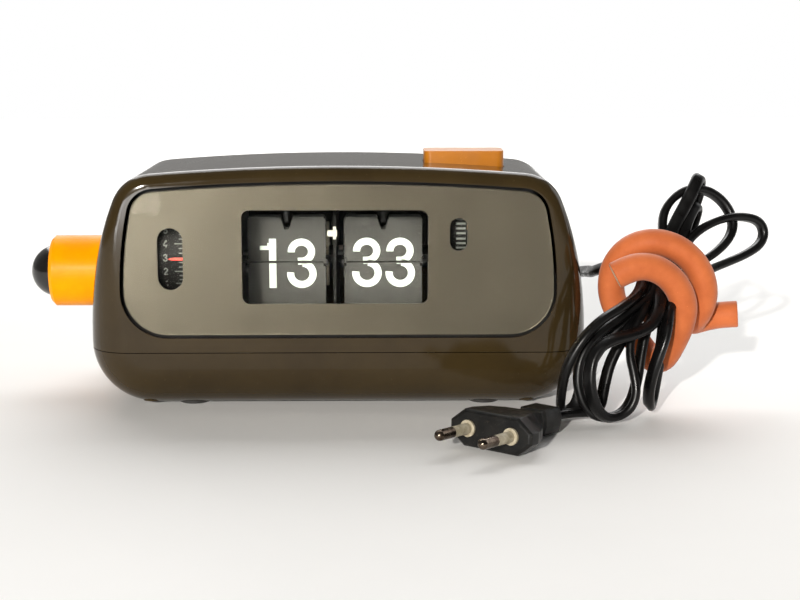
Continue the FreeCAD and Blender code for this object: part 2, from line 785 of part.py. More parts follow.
def drum_form(prefix, left, hub_start, hub_length):
    """A card drum: two discs, a hub and a ring of carrier rods."""
    pieces = []
    for side, start in (("left", left), ("right", f"{left} + drum_long - 1.2")):
        place_of = (start, "drum_back", "split_level")
        pieces.append(rod(f"{prefix}_disc_{side}", place_of, "drum_radius", "1.2"))
    pieces.append(rod(prefix + "_hub", (hub_start, "drum_back", "split_level"), "3.4", hub_length))
    for i in range(SPOKE_COUNT):
        turn = 2 * math.pi * i / SPOKE_COUNT
        y = f"drum_back + {round(11.2 * math.cos(turn), 4)}"
        z = f"split_level + {round(11.2 * math.sin(turn), 4)}"
        pieces.append(rod(f"{prefix}_spoke_{i}", (left, y, z), "0.7", "drum_long"))
    bore_start = (f"{hub_start} - 1", "drum_back", "split_level")
    bore = rod(prefix + "_bore", bore_start, "spindle_radius + fit", "60")
    return cut(prefix + "_drum_form", fuse(prefix + "_blank", *pieces), bore)


LAY_LEFT = 1.4
HOUR_GEAR_LEFT = -5.4
spindle_start = ("left_plate", "drum_back", "split_level")
spindle_rod = rod("spindle_form", spindle_start, "spindle_radius", "gear_start + 1.2 - left_plate")
node(spindle_rod, "drum_spindle")
layer = [mm("gear_start") + i * mm("gear_layer") for i in range(3)]
HUB = 3.4
minute_gear = gear("minute_gear_form", 45, MODULE, layer[0], spindle, gap_phase(spindle, arbor_b, 45), HUB)
node(minute_gear, "minute_gear")
pinion_b = gear("pinion_b_form", 12, MODULE, layer[0], arbor_b, heading(arbor_b, spindle), SHAFT)
wheel_b = gear("wheel_b_form", 48, MODULE, layer[1], arbor_b, gap_phase(arbor_b, arbor_a, 48), SHAFT)
pinion_a = gear("pinion_a_form", 12, MODULE, layer[1], arbor_a, heading(arbor_a, arbor_b), SHAFT)
wheel_a = gear("wheel_a_form", 48, MODULE, layer[2], arbor_a, gap_phase(arbor_a, seconds, 48), SHAFT)
pinion_s = gear("pinion_s_form", 12, MODULE, layer[2], seconds, heading(seconds, arbor_a), SHAFT)
BETWEEN_MOTOR = 54.0
seconds_gear = gear(
    "seconds_gear_form", 48, MODULE, BETWEEN_MOTOR, seconds, gap_phase(seconds, motor_shaft, 48), SHAFT
)
motor_phase = heading(motor_shaft, seconds)
motor_gear = gear("motor_gear_form", 12, MODULE, BETWEEN_MOTOR, motor_shaft, motor_phase, SHAFT)


def arbor(name, left, centre, length):
    """A plain steel arbor along X."""
    return rod(name, (left, centre[0], centre[1]), SHAFT, length)


train_pin_a = arbor("train_pin_a", "right_plate", arbor_a, 5.4)
node(fuse("train_a_form", wheel_a, pinion_a, train_pin_a), "train_wheel_a")
train_pin_b = arbor("train_pin_b", "right_plate", arbor_b, 4.2)
node(fuse("train_b_form", wheel_b, pinion_b, train_pin_b), "train_wheel_b")
seconds_pin = arbor("seconds_pin", "right_plate", seconds, "outer_plate - right_plate + plate_thick")
node(fuse("seconds_arbor_form", seconds_pin, pinion_s, seconds_gear), "seconds_arbor")

RIM = 1.6
seconds_profile = [
    ("seconds_left", str(SHAFT)),
    ("seconds_left + seconds_wide", str(SHAFT)),
    ("seconds_left + seconds_wide", "4"),
    ("seconds_left + 1.6", "4"),
    ("seconds_left + 1.6", f"seconds_radius - {RIM}"),
    ("seconds_left + seconds_wide", f"seconds_radius - {RIM}"),
    ("seconds_left + seconds_wide", "seconds_radius"),
    ("seconds_left", "seconds_radius"),
]
node(turned("seconds_wheel_form", seconds_profile, ("seconds_back", "seconds_level")), "seconds_wheel")

lay_wheel = gear("lay_wheel_form", 48, MODULE, LAY_LEFT, lay_shaft, gap_phase(lay_shaft, spindle, 48), SHAFT)
pinion_phase = heading(spindle, lay_shaft)
minute_pinion = gear("minute_pinion_form", 12, MODULE, LAY_LEFT, spindle, pinion_phase, 1.5 + fit)
node(drum_form("hour", "-34", "-34", "31.4"), "hour_drum")
minute_hub_free = drum_form("minute", "4.2", "2.4", "gear_start + gear_thick - 2.4")
node(fuse("minute_drum_form_all", minute_hub_free, minute_pinion), "minute_drum")
FINE = 2 * TRAIN_REACH / (12 + 72)
lay_pinion = gear("lay_pinion_form", 12, FINE, HOUR_GEAR_LEFT, lay_shaft, heading(lay_shaft, spindle), SHAFT)
hour_gear = gear("hour_gear_form", 72, FINE, HOUR_GEAR_LEFT, spindle, gap_phase(spindle, lay_shaft, 72), HUB)
lay_pin = arbor("lay_pin", HOUR_GEAR_LEFT - 0.6, lay_shaft, 9.0)
node(fuse("lay_form", lay_wheel, lay_pinion, lay_pin), "hour_lay_shaft")
node(hour_gear, "hour_gear")

# ---------------------------------------------------------------------------------------
# Motor
# ---------------------------------------------------------------------------------------
motor_start = ("outer_plate + plate_thick", "motor_back", "motor_level")
motor_case = rod("motor_case", motor_start, "motor_radius", "motor_long")
rim_start = ("outer_plate + plate_thick + 8", "motor_back", "motor_level")
motor_rim = rod("motor_rim", rim_start, "motor_radius + 1", "1.2")
motor_hollow_start = ("outer_plate + plate_thick - 1", motor_shaft[0], motor_shaft[1])
motor_bore = rod("motor_bore", motor_hollow_start, SHAFT + fit, "6")
node(cut("motor_form", fuse("motor_blank", motor_case, motor_rim), motor_bore), "motor_can")
motor_pin = arbor("motor_pin", BETWEEN_MOTOR - 0.6, motor_shaft, "outer_plate - 54 + 4")
node(fuse("motor_pinion_form", motor_gear, motor_pin), "motor_pinion")
coil = rod("coil_form", ("outer_plate + plate_thick + motor_long", "motor_back", "motor_level"), "13", "4")
node(coil, "motor_coil_cover")

# ---------------------------------------------------------------------------------------
# Alarm: drum, its arbor, knob with tube and gear, time knob with rod, buzzer
# ---------------------------------------------------------------------------------------
ALARM_MODULE = 2 * math.dist(alarm, knob) / (24 + 48)
ALARM_GEAR_LEFT = -57.4
drum_profile = [
    ("alarm_drum_left", "1.55"),
    ("alarm_drum_left + alarm_drum_wide", "1.55"),
    ("alarm_drum_left + alarm_drum_wide", "5"),
    ("alarm_drum_left + 1.6", "5"),
    ("alarm_drum_left + 1.6", "alarm_drum_radius - 1.6"),
    ("alarm_drum_left + alarm_drum_wide", "alarm_drum_radius - 1.6"),
    ("alarm_drum_left + alarm_drum_wide", "alarm_drum_radius"),
    ("alarm_drum_left", "alarm_drum_radius"),
]
node(turned("alarm_drum_form", drum_profile, ("alarm_back", "alarm_level")), "alarm_drum")
alarm_gear = gear(
    "alarm_gear_form", 48, ALARM_MODULE, ALARM_GEAR_LEFT, alarm, gap_phase(alarm, knob, 48), 1.5 + fit
)
alarm_hub_start = ("alarm_drum_left + alarm_drum_wide", "alarm_back", "alarm_level")
alarm_hub_length = f"{ALARM_GEAR_LEFT} - alarm_drum_left - alarm_drum_wide"
alarm_hub = cut(
    "alarm_hub",
    rod("alarm_hub_out", alarm_hub_start, "5", alarm_hub_length),
    rod("alarm_hub_in", alarm_hub_start, "1.55", alarm_hub_length),
)
node(fuse("alarm_gear_hub", alarm_gear, alarm_hub), "alarm_drum_gear")
arbor_start = ("-71.5", "alarm_back", "alarm_level")
alarm_arbor = rod("alarm_arbor_form", arbor_start, "1.5", "71.5 + left_plate + plate_thick")
node(alarm_arbor, "alarm_arbor")
knob_gear = gear(
    "knob_gear_form", 24, ALARM_MODULE, ALARM_GEAR_LEFT, knob, heading(knob, alarm), mm("tube_radius")
)
tube_profile = [
    ("knob_outer + 6", "rod_radius + fit"),
    ("-54", "rod_radius + fit"),
    ("-54", "tube_radius"),
    ("knob_outer + 6", "tube_radius"),
]
setting_tube = turned("setting_tube", tube_profile, ("knob_back", "knob_level"))
node(fuse("tube_form", setting_tube, knob_gear), "alarm_setting_tube")
knob_profile = [
    ("knob_outer + 6", "tube_radius"),
    ("knob_inner", "tube_radius"),
    ("knob_inner", "knob_radius - 0.6"),
    ("knob_inner - 0.6", "knob_radius"),
    ("knob_outer + 1.4", "knob_radius"),
    ("knob_outer", "knob_radius - 1.4"),
    ("knob_outer", "ball_radius + 0.6"),
    ("knob_outer + 6", "ball_radius + 0.6"),
]
node(turned("alarm_knob_form", knob_profile, ("knob_back", "knob_level")), "alarm_knob")
ball_centre = "ball_outer + ball_radius"
ball = doc.addObject("Part::Sphere", "ball_form")
bind(ball, "Radius", "ball_radius")
place(ball, (ball_centre, "knob_back", "knob_level"))
skirt_start = (ball_centre, "knob_back", "knob_level")
ball_skirt = rod("ball_skirt", skirt_start, "ball_radius", f"knob_outer + 5.4 - ({ball_centre})")
keep_start = ("ball_outer - 1", "knob_back - 15", "knob_level - 15")
ball_half = common("ball_half", ball, box("ball_keep", keep_start, ("ball_radius + 1", "30", "30")))
node(fuse("ball_solid", ball_half, ball_skirt), "time_knob")
rod_start = ("knob_outer + 5.4", "knob_back", "knob_level")
setting_rod = rod("setting_rod", rod_start, "rod_radius", "left_plate + plate_thick - knob_outer - 5.4 + 1.5")
clutch_start = ("left_plate - 4", "knob_back", "knob_level")
clutch_disc = rod("clutch_disc", clutch_start, "6", "2")
node(fuse("time_rod_form", setting_rod, clutch_disc), "time_setting_rod")

buzzer_coil = rod("buzzer_coil_form", ("-52", "66", "chassis_low + chassis_floor"), "6", "20", None)
node(buzzer_coil, "buzzer_coil")
reed_post = box("reed_post", ("-66", "63", "chassis_low + chassis_floor"), ("3", "6", "22.4"))
reed = box("reed_strip", ("-66", "63", "chassis_low + chassis_floor + 22.4"), ("22", "6", "0.6"))
node(fuse("reed_form", reed_post, reed), "buzzer_reed")

# ---------------------------------------------------------------------------------------
# Top button, its spring and the switch it presses
# ---------------------------------------------------------------------------------------
cap_start = ("button_left", "button_front", "button_top - button_high")
cap = box("cap_block", cap_start, ("button_wide", "button_deep", "button_high"))
flange_start = ("button_left - 1.2", "button_front - 1.2", "button_top - button_high - 0.6")
flange = box("cap_flange", flange_start, ("button_wide + 2.4", "button_deep + 2.4", "0.6"))
doc.recompute()
cap_round = doc.addObject("Part::Fillet", "cap_round")
cap_round.Base = cap
corners = []
for number, edge in enumerate(cap.Shape.Edges, start=1):
    if abs(edge.tangentAt(edge.FirstParameter).z) > 0.9:
        corners.append((number, 3.0, 3.0))
cap_round.Edges = corners
STEM = (57.2, 41.5)
SPRING_RADIUS = 2.3
SPRING_WIRE = 0.3
SPRING_PITCH = 1.1
SPRING_TURNS = 4
SPRING_STEPS = 12
SPRING_LEVEL = 80.3
stem_start = (STEM[0], STEM[1], "78.6")
stem = rod("stem", stem_start, "1.5", "button_top - button_high - 0.6 - 78.6", None)
node(fuse("cap_form", cap_round, flange, stem), "alarm_stop_button")
switch_start = (STEM[0] - 1.9, STEM[1] - 5, "64")
switch_case = box("switch_case", switch_start, ("4.7", "10", "10"))
switch_key = box("switch_key", (STEM[0] - 1.5, STEM[1] - 1.5, "74"), ("3", "3", "1.6"))
node(fuse("switch_form", switch_case, switch_key), "alarm_switch")
spring_points = []
for step in range(SPRING_TURNS * SPRING_STEPS + 1):
    turn = 2 * math.pi * step / SPRING_STEPS
    rise = SPRING_PITCH * step / SPRING_STEPS
    spring_points.append(V(SPRING_RADIUS * math.cos(turn), SPRING_RADIUS * math.sin(turn), rise))
spring_curve = Part.BSplineCurve()
spring_curve.interpolate(Points=spring_points)
spring_line = Part.Wire(spring_curve.toShape())
spring_start = spring_curve.tangent(spring_curve.FirstParameter)[0]
spring_end = Part.Wire(Part.Circle(spring_points[0], spring_start, SPRING_WIRE).toShape())
spring_solid = spring_line.makePipeShell([spring_end], True, True)
spring_solid.translate(V(STEM[0], STEM[1], SPRING_LEVEL))
node(feature("spring_form", spring_solid), "button_spring")

# ---------------------------------------------------------------------------------------
# Mains lead: terminal block, strain relief, lead, hank, tie and plug
# ---------------------------------------------------------------------------------------
block_start = (42, 54, "chassis_low + chassis_floor")
block = box("block_body", block_start, (14, 8, 7))
block_screws = [rod(f"block_screw_{i}", (45.5 + 7 * i, 58, 16.5), 1.4, 1.2, None) for i in range(2)]
node(fuse("terminal_form", block, *block_screws), "terminal_block")

half_deep = mm("case_deep") / 2
lift = mm("case_lift")
exit_at = V(mm("exit_right"), half_deep, mm("exit_level") + lift)
relief_inner = Part.makeCylinder(3.9, wall + 3.6, exit_at - V(0, wall + 3.0, 0), V(0, 1, 0))
relief_flange = Part.makeCylinder(5.4, 1.2, exit_at, V(0, 1, 0))
relief_boot = Part.makeCone(4.2, 3.1, 20.0, exit_at + V(0, 1.2, 0), V(0, 1, 0))
relief = relief_inner.fuse(relief_flange).fuse(relief_boot)
relief.translate(V(0, half_deep, -lift))
node(feature("relief_form", relief), "strain_relief")


def rounded_path(points):
    """Straight runs joined by tangent arcs, each as large as its two runs allow."""
    edges = []
    radii = []
    last = points[0]
    for before, corner, after in zip(points, points[1:], points[2:]):
        back = before - corner
        ahead = after - corner
        reach = 0.45 * min(back.Length, ahead.Length)
        back.normalize()
        ahead.normalize()
        turn = math.pi - back.getAngle(ahead)
        radius = reach / math.tan(turn / 2)
        radii.append(round(radius, 1))
        start = corner + back * reach
        end = corner + ahead * reach
        inward = (back + ahead).normalize()
        middle = corner + inward * (math.hypot(radius, reach) - radius)
        edges.append(Part.LineSegment(last, start).toShape())
        edges.append(Part.Arc(start, middle, end).toShape())
        last = end
    edges.append(Part.LineSegment(last, points[-1]).toShape())
    return Part.Wire(edges), radii


def lead_tube(name, points, radius):
    """A plain round tube along a route of the mains lead, in the clock's own frame."""
    path, radii = rounded_path(points)
    ring = Part.Wire(Part.Circle(points[0], points[1] - points[0], radius).toShape())
    tube = path.makePipeShell([ring], True, False)
    ratio = tube.Volume / (math.pi * radius**2 * path.Length)
    print(name, "radii", radii, "length", round(path.Length, 1), "volume ratio", round(ratio, 4))
    tube.translate(V(0, half_deep, -lift))
    return feature(name, tube)


def route(*stations):
    """A list of route points from bare triples."""
    return [V(*station) for station in stations]


LEAD_RADIUS = 2.4
relief_end = exit_at + V(0, 21.2, 0)
LEAD_IN = [relief_end] + route(
    (58, 75, 14.6),
    (62, 84.5, 16),
    (70.5, 91, 19.5),
    (82, 90, 25),
    (92, 82, 31),
    (99, 71, 36),
    (103, 58, 40),
    (105, 41, 44),
    (105.5, 24, 47.5),
    (105, 7, 50),
    (104.5, -8, 52.5),
    (107, -20, 55),
    (115, -29, 57),
)
LEAD_OUT = route(
    (79.05, -76.3, 5.6),
    (83, -71.4, 5.3),
    (88.6, -67.6, 4.9),
    (96.7, -65.1, 4.6),
)
node(lead_tube("lead_in_form", LEAD_IN, LEAD_RADIUS), "power_cord")
node(lead_tube("lead_out_form", LEAD_OUT, LEAD_RADIUS), "power_cord_end")

TIE_CENTRE = V(124, -45, 43.5)
TIE_AXIS = V(0.42, 0.78, 0.46).normalize()
TIE_RING = 20.5
TIE_ROD = mm("tie_rod") / 2
LOW_FAN = V(1, 0.1, 0)
TOP_FAN = V(0.8, 0, -0.55)
# each section of the tied hank: its middle, the way the strands run there, the way it is wide,
# its half width and its half depth
HANK = (
    (V(102, -66, 1.5), V(0, 0, 1), LOW_FAN, 17, 9),
    (V(101, -67, 14), V(0.1, 0.1, 1), LOW_FAN, 18, 10),
    (V(106, -65, 27), V(0.4, 0.3, 0.8), LOW_FAN, 15, 8),
    (V(114, -57, 37), V(0.5, 0.55, 0.6), LOW_FAN, 10, 8.5),
    (V(125, -44, 46.5), V(0.5, 0.75, 0.5), TOP_FAN, 10, 10),
    (V(136, -31, 58), V(0.5, 0.45, 0.7), TOP_FAN, 11, 9),
    (V(148, -21, 69), V(0.45, 0.3, 0.8), TOP_FAN, 22, 8),
    (V(151, -17, 83), V(0.2, 0.1, 0.95), TOP_FAN, 14, 4.5),
)
SECTION_POINTS = 16


def hank_section(centre, along, fan, half_wide, half_thick):
    """A closed smooth oval across the strands."""
    thick = along.cross(fan).normalize()
    wide = thick.cross(along).normalize()
    points = []
    for i in range(SECTION_POINTS):
        turn = 2 * math.pi * i / SECTION_POINTS
        points.append(centre + wide * (half_wide * math.cos(turn)) + thick * (half_thick * math.sin(turn)))
    curve = Part.BSplineCurve()
    curve.interpolate(Points=points, PeriodicFlag=True)
    return Part.Wire(curve.toShape())


hank = Part.makeLoft([hank_section(*section) for section in HANK], True, False)
hank.translate(V(0, half_deep, -lift))
node(feature("hank_form", hank), "cord_hank")

ring_places = (TIE_CENTRE - TIE_AXIS * TIE_ROD * 1.02, TIE_CENTRE + TIE_AXIS * TIE_ROD * 1.02)
rings = [Part.makeTorus(TIE_RING, TIE_ROD, centre, TIE_AXIS) for centre in ring_places]
ring_side = TIE_AXIS.cross(V(0, 0, 1)).normalize() * TIE_RING
link_start = TIE_CENTRE + ring_side - TIE_AXIS * TIE_ROD
link = Part.makeCylinder(TIE_ROD - 0.6, TIE_ROD * 2, link_start, TIE_AXIS)
tail = Part.makeCylinder(TIE_ROD, 28, V(131, -36, 27), V(0.95, 0.1, 0.25))
tie = rings[0].fuse([rings[1], tail, link])
tie.translate(V(0, half_deep, -lift))
node(feature("tie_form", tie), "cord_tie")

# plug: its pins point along the plug's own +X, then the whole is turned and laid down
PLUG_LONG = 38.0
PLUG_WIDE = 35.3
PLUG_NECK = 12.5
PLUG_THICK = 13.7
NECK_THICK = 9.4
PLUG_LEAN = 3.2
PLUG_FACE = V(55, -106, 7.7)
PLUG_HEADING = 180 + 51.0
PLUG_TURN = FreeCAD.Rotation(V(0, 0, 1), PLUG_HEADING) * FreeCAD.Rotation(V(0, 1, 0), -PLUG_LEAN)
plug_place = FreeCAD.Placement(PLUG_FACE + V(0, half_deep, -lift), PLUG_TURN)


def plug_section(back, half_wide, half_thick, point):
    """One outline across the plug: a flat hexagon with pointed ends."""
    flank = half_wide - point
    corners = (
        V(-back, half_wide, 0),
        V(-back, flank, half_thick),
        V(-back, -flank, half_thick),
        V(-back, -half_wide, 0),
        V(-back, -flank, -half_thick),
        V(-back, flank, -half_thick),
    )
    return Part.makePolygon(corners + corners[:1])


def plug_body_shape():
    """A flat two-pole plug: it tapers back from its face to a waist and a boxed neck."""
    half = PLUG_WIDE / 2
    deep = PLUG_THICK / 2
    sections = [
        plug_section(0, half, deep, 6),
        plug_section(13, half - 0.8, deep, 6),
        plug_section(27, PLUG_NECK / 2 - 0.6, NECK_THICK / 2 - 0.6, 1),
    ]
    shape = Part.makeLoft(sections, True, True)
    corner = V(-PLUG_LONG, -PLUG_NECK / 2, -NECK_THICK / 2)
    neck = Part.makeBox(PLUG_LONG - 26, PLUG_NECK, NECK_THICK, corner)
    neck = neck.makeFillet(1.0, [e for e in neck.Edges if abs(e.tangentAt(e.FirstParameter).x) > 0.9])
    return shape.fuse(neck).removeSplitter()


def plug_pin(side, radius, start, length):
    """A round piece on one pin's axis."""
    return Part.makeCylinder(radius, length, V(start, side * PIN_PITCH / 2, 0), V(1, 0, 0))


PIN_PITCH = 18.6
PIN_RADIUS = 2.0
PIN_LONG = 19.0
SLEEVE_LONG = 10.0
plug_body = plug_body_shape()
pins = []
sleeves = []
for side in (-1, 1):
    core = plug_pin(side, PIN_RADIUS - 0.3, -6, SLEEVE_LONG + 6)
    tip = Part.makeSphere(PIN_RADIUS, V(PIN_LONG - PIN_RADIUS, side * PIN_PITCH / 2, 0))
    shaft = plug_pin(side, PIN_RADIUS, SLEEVE_LONG, PIN_LONG - SLEEVE_LONG - PIN_RADIUS)
    pins.append(core.fuse([shaft, tip]))
    plug_body = plug_body.cut(plug_pin(side, PIN_RADIUS, -6, 6.5))
    collar = plug_pin(side, 3.1, 0, 0.8).cut(plug_pin(side, PIN_RADIUS - 0.3, -6, 12))
    sleeve = plug_pin(side, PIN_RADIUS, -6, SLEEVE_LONG + 6).cut(plug_pin(side, PIN_RADIUS - 0.3, -6, 20))
    sleeves.append(sleeve.fuse(collar))
for label, shape in (
    ("plug_body", plug_body),
    ("plug_pins", Part.makeCompound(pins)),
    ("plug_sleeves", Part.makeCompound(sleeves)),
):
    shape.Placement = plug_place
    node(feature(label + "_form", shape), label)

# ---------------------------------------------------------------------------------------
# Check everything, then write one file for each node
# ---------------------------------------------------------------------------------------
doc.recompute()
for thing in doc.Objects:
    if "Invalid" in thing.State or "Error" in thing.State:
        raise SystemExit(f"{thing.Name} failed: {thing.State}")
labels = [thing.Label for thing in nodes]
if len(set(labels)) != len(labels):
    raise SystemExit("two sub-parts share a label")
for thing in nodes:
    if thing.Shape.isNull() or not thing.Shape.isValid():
        raise SystemExit(f"{thing.Label} has no valid shape")
for thing in nodes:
    thing.Shape.exportStep(f"parts/{thing.Label}.step")
print(len(nodes), "sub-parts written")
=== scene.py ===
"""Looks of a mains flip number clock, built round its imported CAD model.

Sizes are millimetres in the class fields and metres in Blender.
"""

import itertools
import logging
import math
from dataclasses import dataclass
from enum import Enum
from typing import Callable, Iterable, Sequence

import bmesh
import bpy
from mathutils import Matrix, Vector


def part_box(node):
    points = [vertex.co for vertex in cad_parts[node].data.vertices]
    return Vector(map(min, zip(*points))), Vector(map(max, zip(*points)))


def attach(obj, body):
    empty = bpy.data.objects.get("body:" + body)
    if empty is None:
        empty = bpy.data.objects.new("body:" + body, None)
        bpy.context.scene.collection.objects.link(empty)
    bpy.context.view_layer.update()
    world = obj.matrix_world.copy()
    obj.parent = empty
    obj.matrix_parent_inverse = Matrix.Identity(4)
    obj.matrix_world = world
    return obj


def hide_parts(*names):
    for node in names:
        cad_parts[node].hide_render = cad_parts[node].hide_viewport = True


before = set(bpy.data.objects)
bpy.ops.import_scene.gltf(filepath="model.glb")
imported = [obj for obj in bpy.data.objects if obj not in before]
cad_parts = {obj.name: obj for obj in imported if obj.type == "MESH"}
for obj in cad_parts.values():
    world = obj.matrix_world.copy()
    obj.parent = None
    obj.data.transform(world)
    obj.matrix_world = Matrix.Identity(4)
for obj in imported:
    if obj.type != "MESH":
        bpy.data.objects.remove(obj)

LOG = logging.getLogger("flip_clock")
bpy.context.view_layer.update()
MM = 0.001
FINE_MERGE_MM = 0.001
CLOCK = "clock"
Point = tuple[float, float, float]
Outline = list[tuple[float, float]]


def metres(*values: float) -> Vector:
    """Turn a point from millimetres into metres."""
    return Vector(values) * MM


def linear(colour: str) -> tuple[float, float, float, float]:
    """Turn a colour as it looks on a screen into Blender's linear one.

    Args:
        colour: an sRGB colour such as "#ff8800".

    Returns:
        Linear red, green, blue and an alpha of one.
    """
    parts = [int(colour[i : i + 2], 16) / 255 for i in (1, 3, 5)]
    lit = [c / 12.92 if c <= 0.04045 else ((c + 0.055) / 1.055) ** 2.4 for c in parts]
    return (lit[0], lit[1], lit[2], 1.0)


def per_mm(size_mm: float) -> float:
    """Give the scale of a noise whose features are this many millimetres across."""
    return 1.0 / (size_mm * MM)


def add_node(
    tree: bpy.types.NodeTree, kind: str, inputs: dict | None = None, **settings: object
) -> bpy.types.Node:
    """Add one shader node.

    Args:
        tree: the node tree that gets it.
        kind: the node's Blender type.
        inputs: socket name or number to a value, or to an output socket that feeds it.
        settings: the node's own properties.

    Returns:
        The new node.
    """
    node = tree.nodes.new(kind)
    for name, value in settings.items():
        setattr(node, name, value)
    for key, value in (inputs or {}).items():
        socket = node.inputs[key]
        if isinstance(value, bpy.types.NodeSocket):
            tree.links.new(value, socket)
        else:
            socket.default_value = value
    return node


# ---------------------------------------------------------------------------------------
# Finishes
# ---------------------------------------------------------------------------------------
def named_material(name: str) -> tuple[bpy.types.Material, bool]:
    """Find a material by its name, or make an empty one.

    Args:
        name: the material's name.

    Returns:
        The material, and whether it was made just now and has no nodes yet.
    """
    found = bpy.data.materials.get(name)
    if found is not None:
        return found, False
    made = bpy.data.materials.new(name)
    made.use_nodes = True
    made.node_tree.nodes.clear()
    return made, True


@dataclass(frozen=True)
class Finish:
    """One real material: what it is, and what the eye gets from how it was made.

    Attributes:
        name: the real material and how it was made.
        colour: its usual colour.
        shade: the colour that it drifts to where it is thinner, dustier or more worn.
        drift_mm: the size of those patches.
        gloss: roughness where it is cleanest and where it is dullest.
        smudge_mm: the size of the dull patches.
        grain_mm: the pitch of the surface's own texture.
        grain_depth_mm: how deep that texture is.
        metallic: one for a metal.
        ior: index of refraction.
        coat: weight of a clear lacquer.
        stretch: how many times the texture is compressed along X, Y and Z.
        flecks: share of light specks: dust and scuffs, and on the flaps painted glints.
        fleck_mm: the size of a speck.
        fleck_colour: colour of the specks.
        sheen: weight of the soft bloom on rubbery surfaces.
        mirror: strength of the clean reflection, 0.5 for a bare plastic.
    """

    name: str
    colour: str
    shade: str
    drift_mm: float = 12.0
    gloss: tuple[float, float] = (0.3, 0.4)
    smudge_mm: float = 9.0
    grain_mm: float = 0.4
    grain_depth_mm: float = 0.01
    metallic: float = 0.0
    ior: float = 1.5
    coat: float = 0.0
    stretch: Point = (1.0, 1.0, 1.0)
    flecks: float = 0.0
    fleck_mm: float = 0.8
    fleck_colour: str = "#b8b2a4"
    sheen: float = 0.0
    mirror: float = 0.5

    # between these values of its noise, each pattern goes from one end to the other
    SMUDGE_SPAN = (0.35, 0.68)
    DRIFT_SPAN = (0.36, 0.66)
    FLECK_START = 0.74
    FLECK_REACH = 0.3
    FLECK_EDGE = 0.05
    COAT_GLOSS = 0.06

    def material(self) -> bpy.types.Material:
        """Make the material, or find the one already made.

        Returns:
            The material with its nodes.
        """
        made, is_new = named_material(self.name)
        if not is_new:
            return made
        tree = made.node_tree
        place = add_node(tree, "ShaderNodeTexCoord").outputs["Object"]
        brushed = add_node(
            tree, "ShaderNodeMapping", {"Vector": place, "Scale": self.stretch}
        ).outputs["Vector"]
        colour = self.colour_nodes(tree, place, brushed)
        smudge = add_node(
            tree,
            "ShaderNodeTexNoise",
            {"Vector": brushed, "Scale": per_mm(self.smudge_mm), "Detail": 4.0},
        )
        rough = add_node(
            tree,
            "ShaderNodeMapRange",
            {
                "Value": smudge.outputs["Fac"],
                "From Min": self.SMUDGE_SPAN[0],
                "From Max": self.SMUDGE_SPAN[1],
                "To Min": self.gloss[0],
                "To Max": self.gloss[1],
            },
        )
        grain = add_node(
            tree,
            "ShaderNodeTexNoise",
            {"Vector": brushed, "Scale": per_mm(self.grain_mm), "Detail": 3.0},
        )
        bump = add_node(
            tree,
            "ShaderNodeBump",
            {
                "Height": grain.outputs["Fac"],
                "Distance": self.grain_depth_mm * MM,
                "Strength": 1.0,
            },
        )
        shader = add_node(
            tree,
            "ShaderNodeBsdfPrincipled",
            {
                "Base Color": colour,
                "Roughness": rough.outputs["Result"],
                "Normal": bump.outputs["Normal"],
                "Metallic": self.metallic,
                "IOR": self.ior,
                "Coat Weight": self.coat,
                "Coat Roughness": self.COAT_GLOSS,
                "Sheen Weight": self.sheen,
                "Specular IOR Level": self.mirror,
            },
        )
        add_node(tree, "ShaderNodeOutputMaterial", {"Surface": shader.outputs[0]})
        return made

    def colour_nodes(
        self, tree: bpy.types.NodeTree, place: bpy.types.NodeSocket, brushed: bpy.types.NodeSocket
    ) -> bpy.types.NodeSocket:
        """Add the drifting colour and its specks.

        Args:
            tree: the material's node tree.
            place: output socket with the place on the object.
            brushed: the same place, compressed along the finish's grain.

        Returns:
            The output socket that holds the colour.
        """
        drift = add_node(
            tree,
            "ShaderNodeTexNoise",
            {"Vector": brushed, "Scale": per_mm(self.drift_mm), "Detail": 5.0, "Roughness": 0.6},
        )
        wide = add_node(
            tree,
            "ShaderNodeMapRange",
            {
                "Value": drift.outputs["Fac"],
                "From Min": self.DRIFT_SPAN[0],
                "From Max": self.DRIFT_SPAN[1],
            },
        )
        mix = add_node(
            tree,
            "ShaderNodeMix",
            {0: wide.outputs["Result"], 6: linear(self.colour), 7: linear(self.shade)},
            data_type="RGBA",
        )
        if self.flecks <= 0:
            return mix.outputs[2]
        speck = add_node(
            tree,
            "ShaderNodeTexNoise",
            {"Vector": place, "Scale": per_mm(self.fleck_mm), "Detail": 2.0, "Roughness": 0.7},
        )
        edge = self.FLECK_START - self.FLECK_REACH * self.flecks
        share = add_node(
            tree,
            "ShaderNodeMapRange",
            {
                "Value": speck.outputs["Fac"],
                "From Min": edge,
                "From Max": edge + self.FLECK_EDGE,
            },
        )
        specks = add_node(
            tree,
            "ShaderNodeMix",
            {0: share.outputs["Result"], 6: mix.outputs[2], 7: linear(self.fleck_colour)},
            data_type="RGBA",
        )
        return specks.outputs[2]


# glossy moulded ABS: a deep even brown whose long, slow waves bend the reflections a little
CASE = Finish(
    "abs_gloss_moulded_olive_brown", "#2f2514", "#372c18", 40, (0.08, 0.15), 22, 14, 0.012,
    ior=1.53, flecks=0.1, fleck_mm=1.0, fleck_colour="#4a3f2c", mirror=0.3,
)
# rolled aluminium foil under satin lacquer: fine upright grain, a metal gleam that turns slowly
PANEL = Finish(
    "aluminium_satin_lacquered_taupe", "#4f4b42", "#49453c", 30, (0.34, 0.38), 16, 0.4, 0.0015,
    metallic=0.85, stretch=(1.0, 1.0, 0.3), flecks=0.04, fleck_mm=0.6, fleck_colour="#a8a396",
)
# matt moulded ABS: swallows light behind the window
SHROUD = Finish(
    "abs_matt_moulded_black", "#060606", "#0a0908", 15, (0.55, 0.7), 8, 0.5, 0.01, mirror=0.2,
)
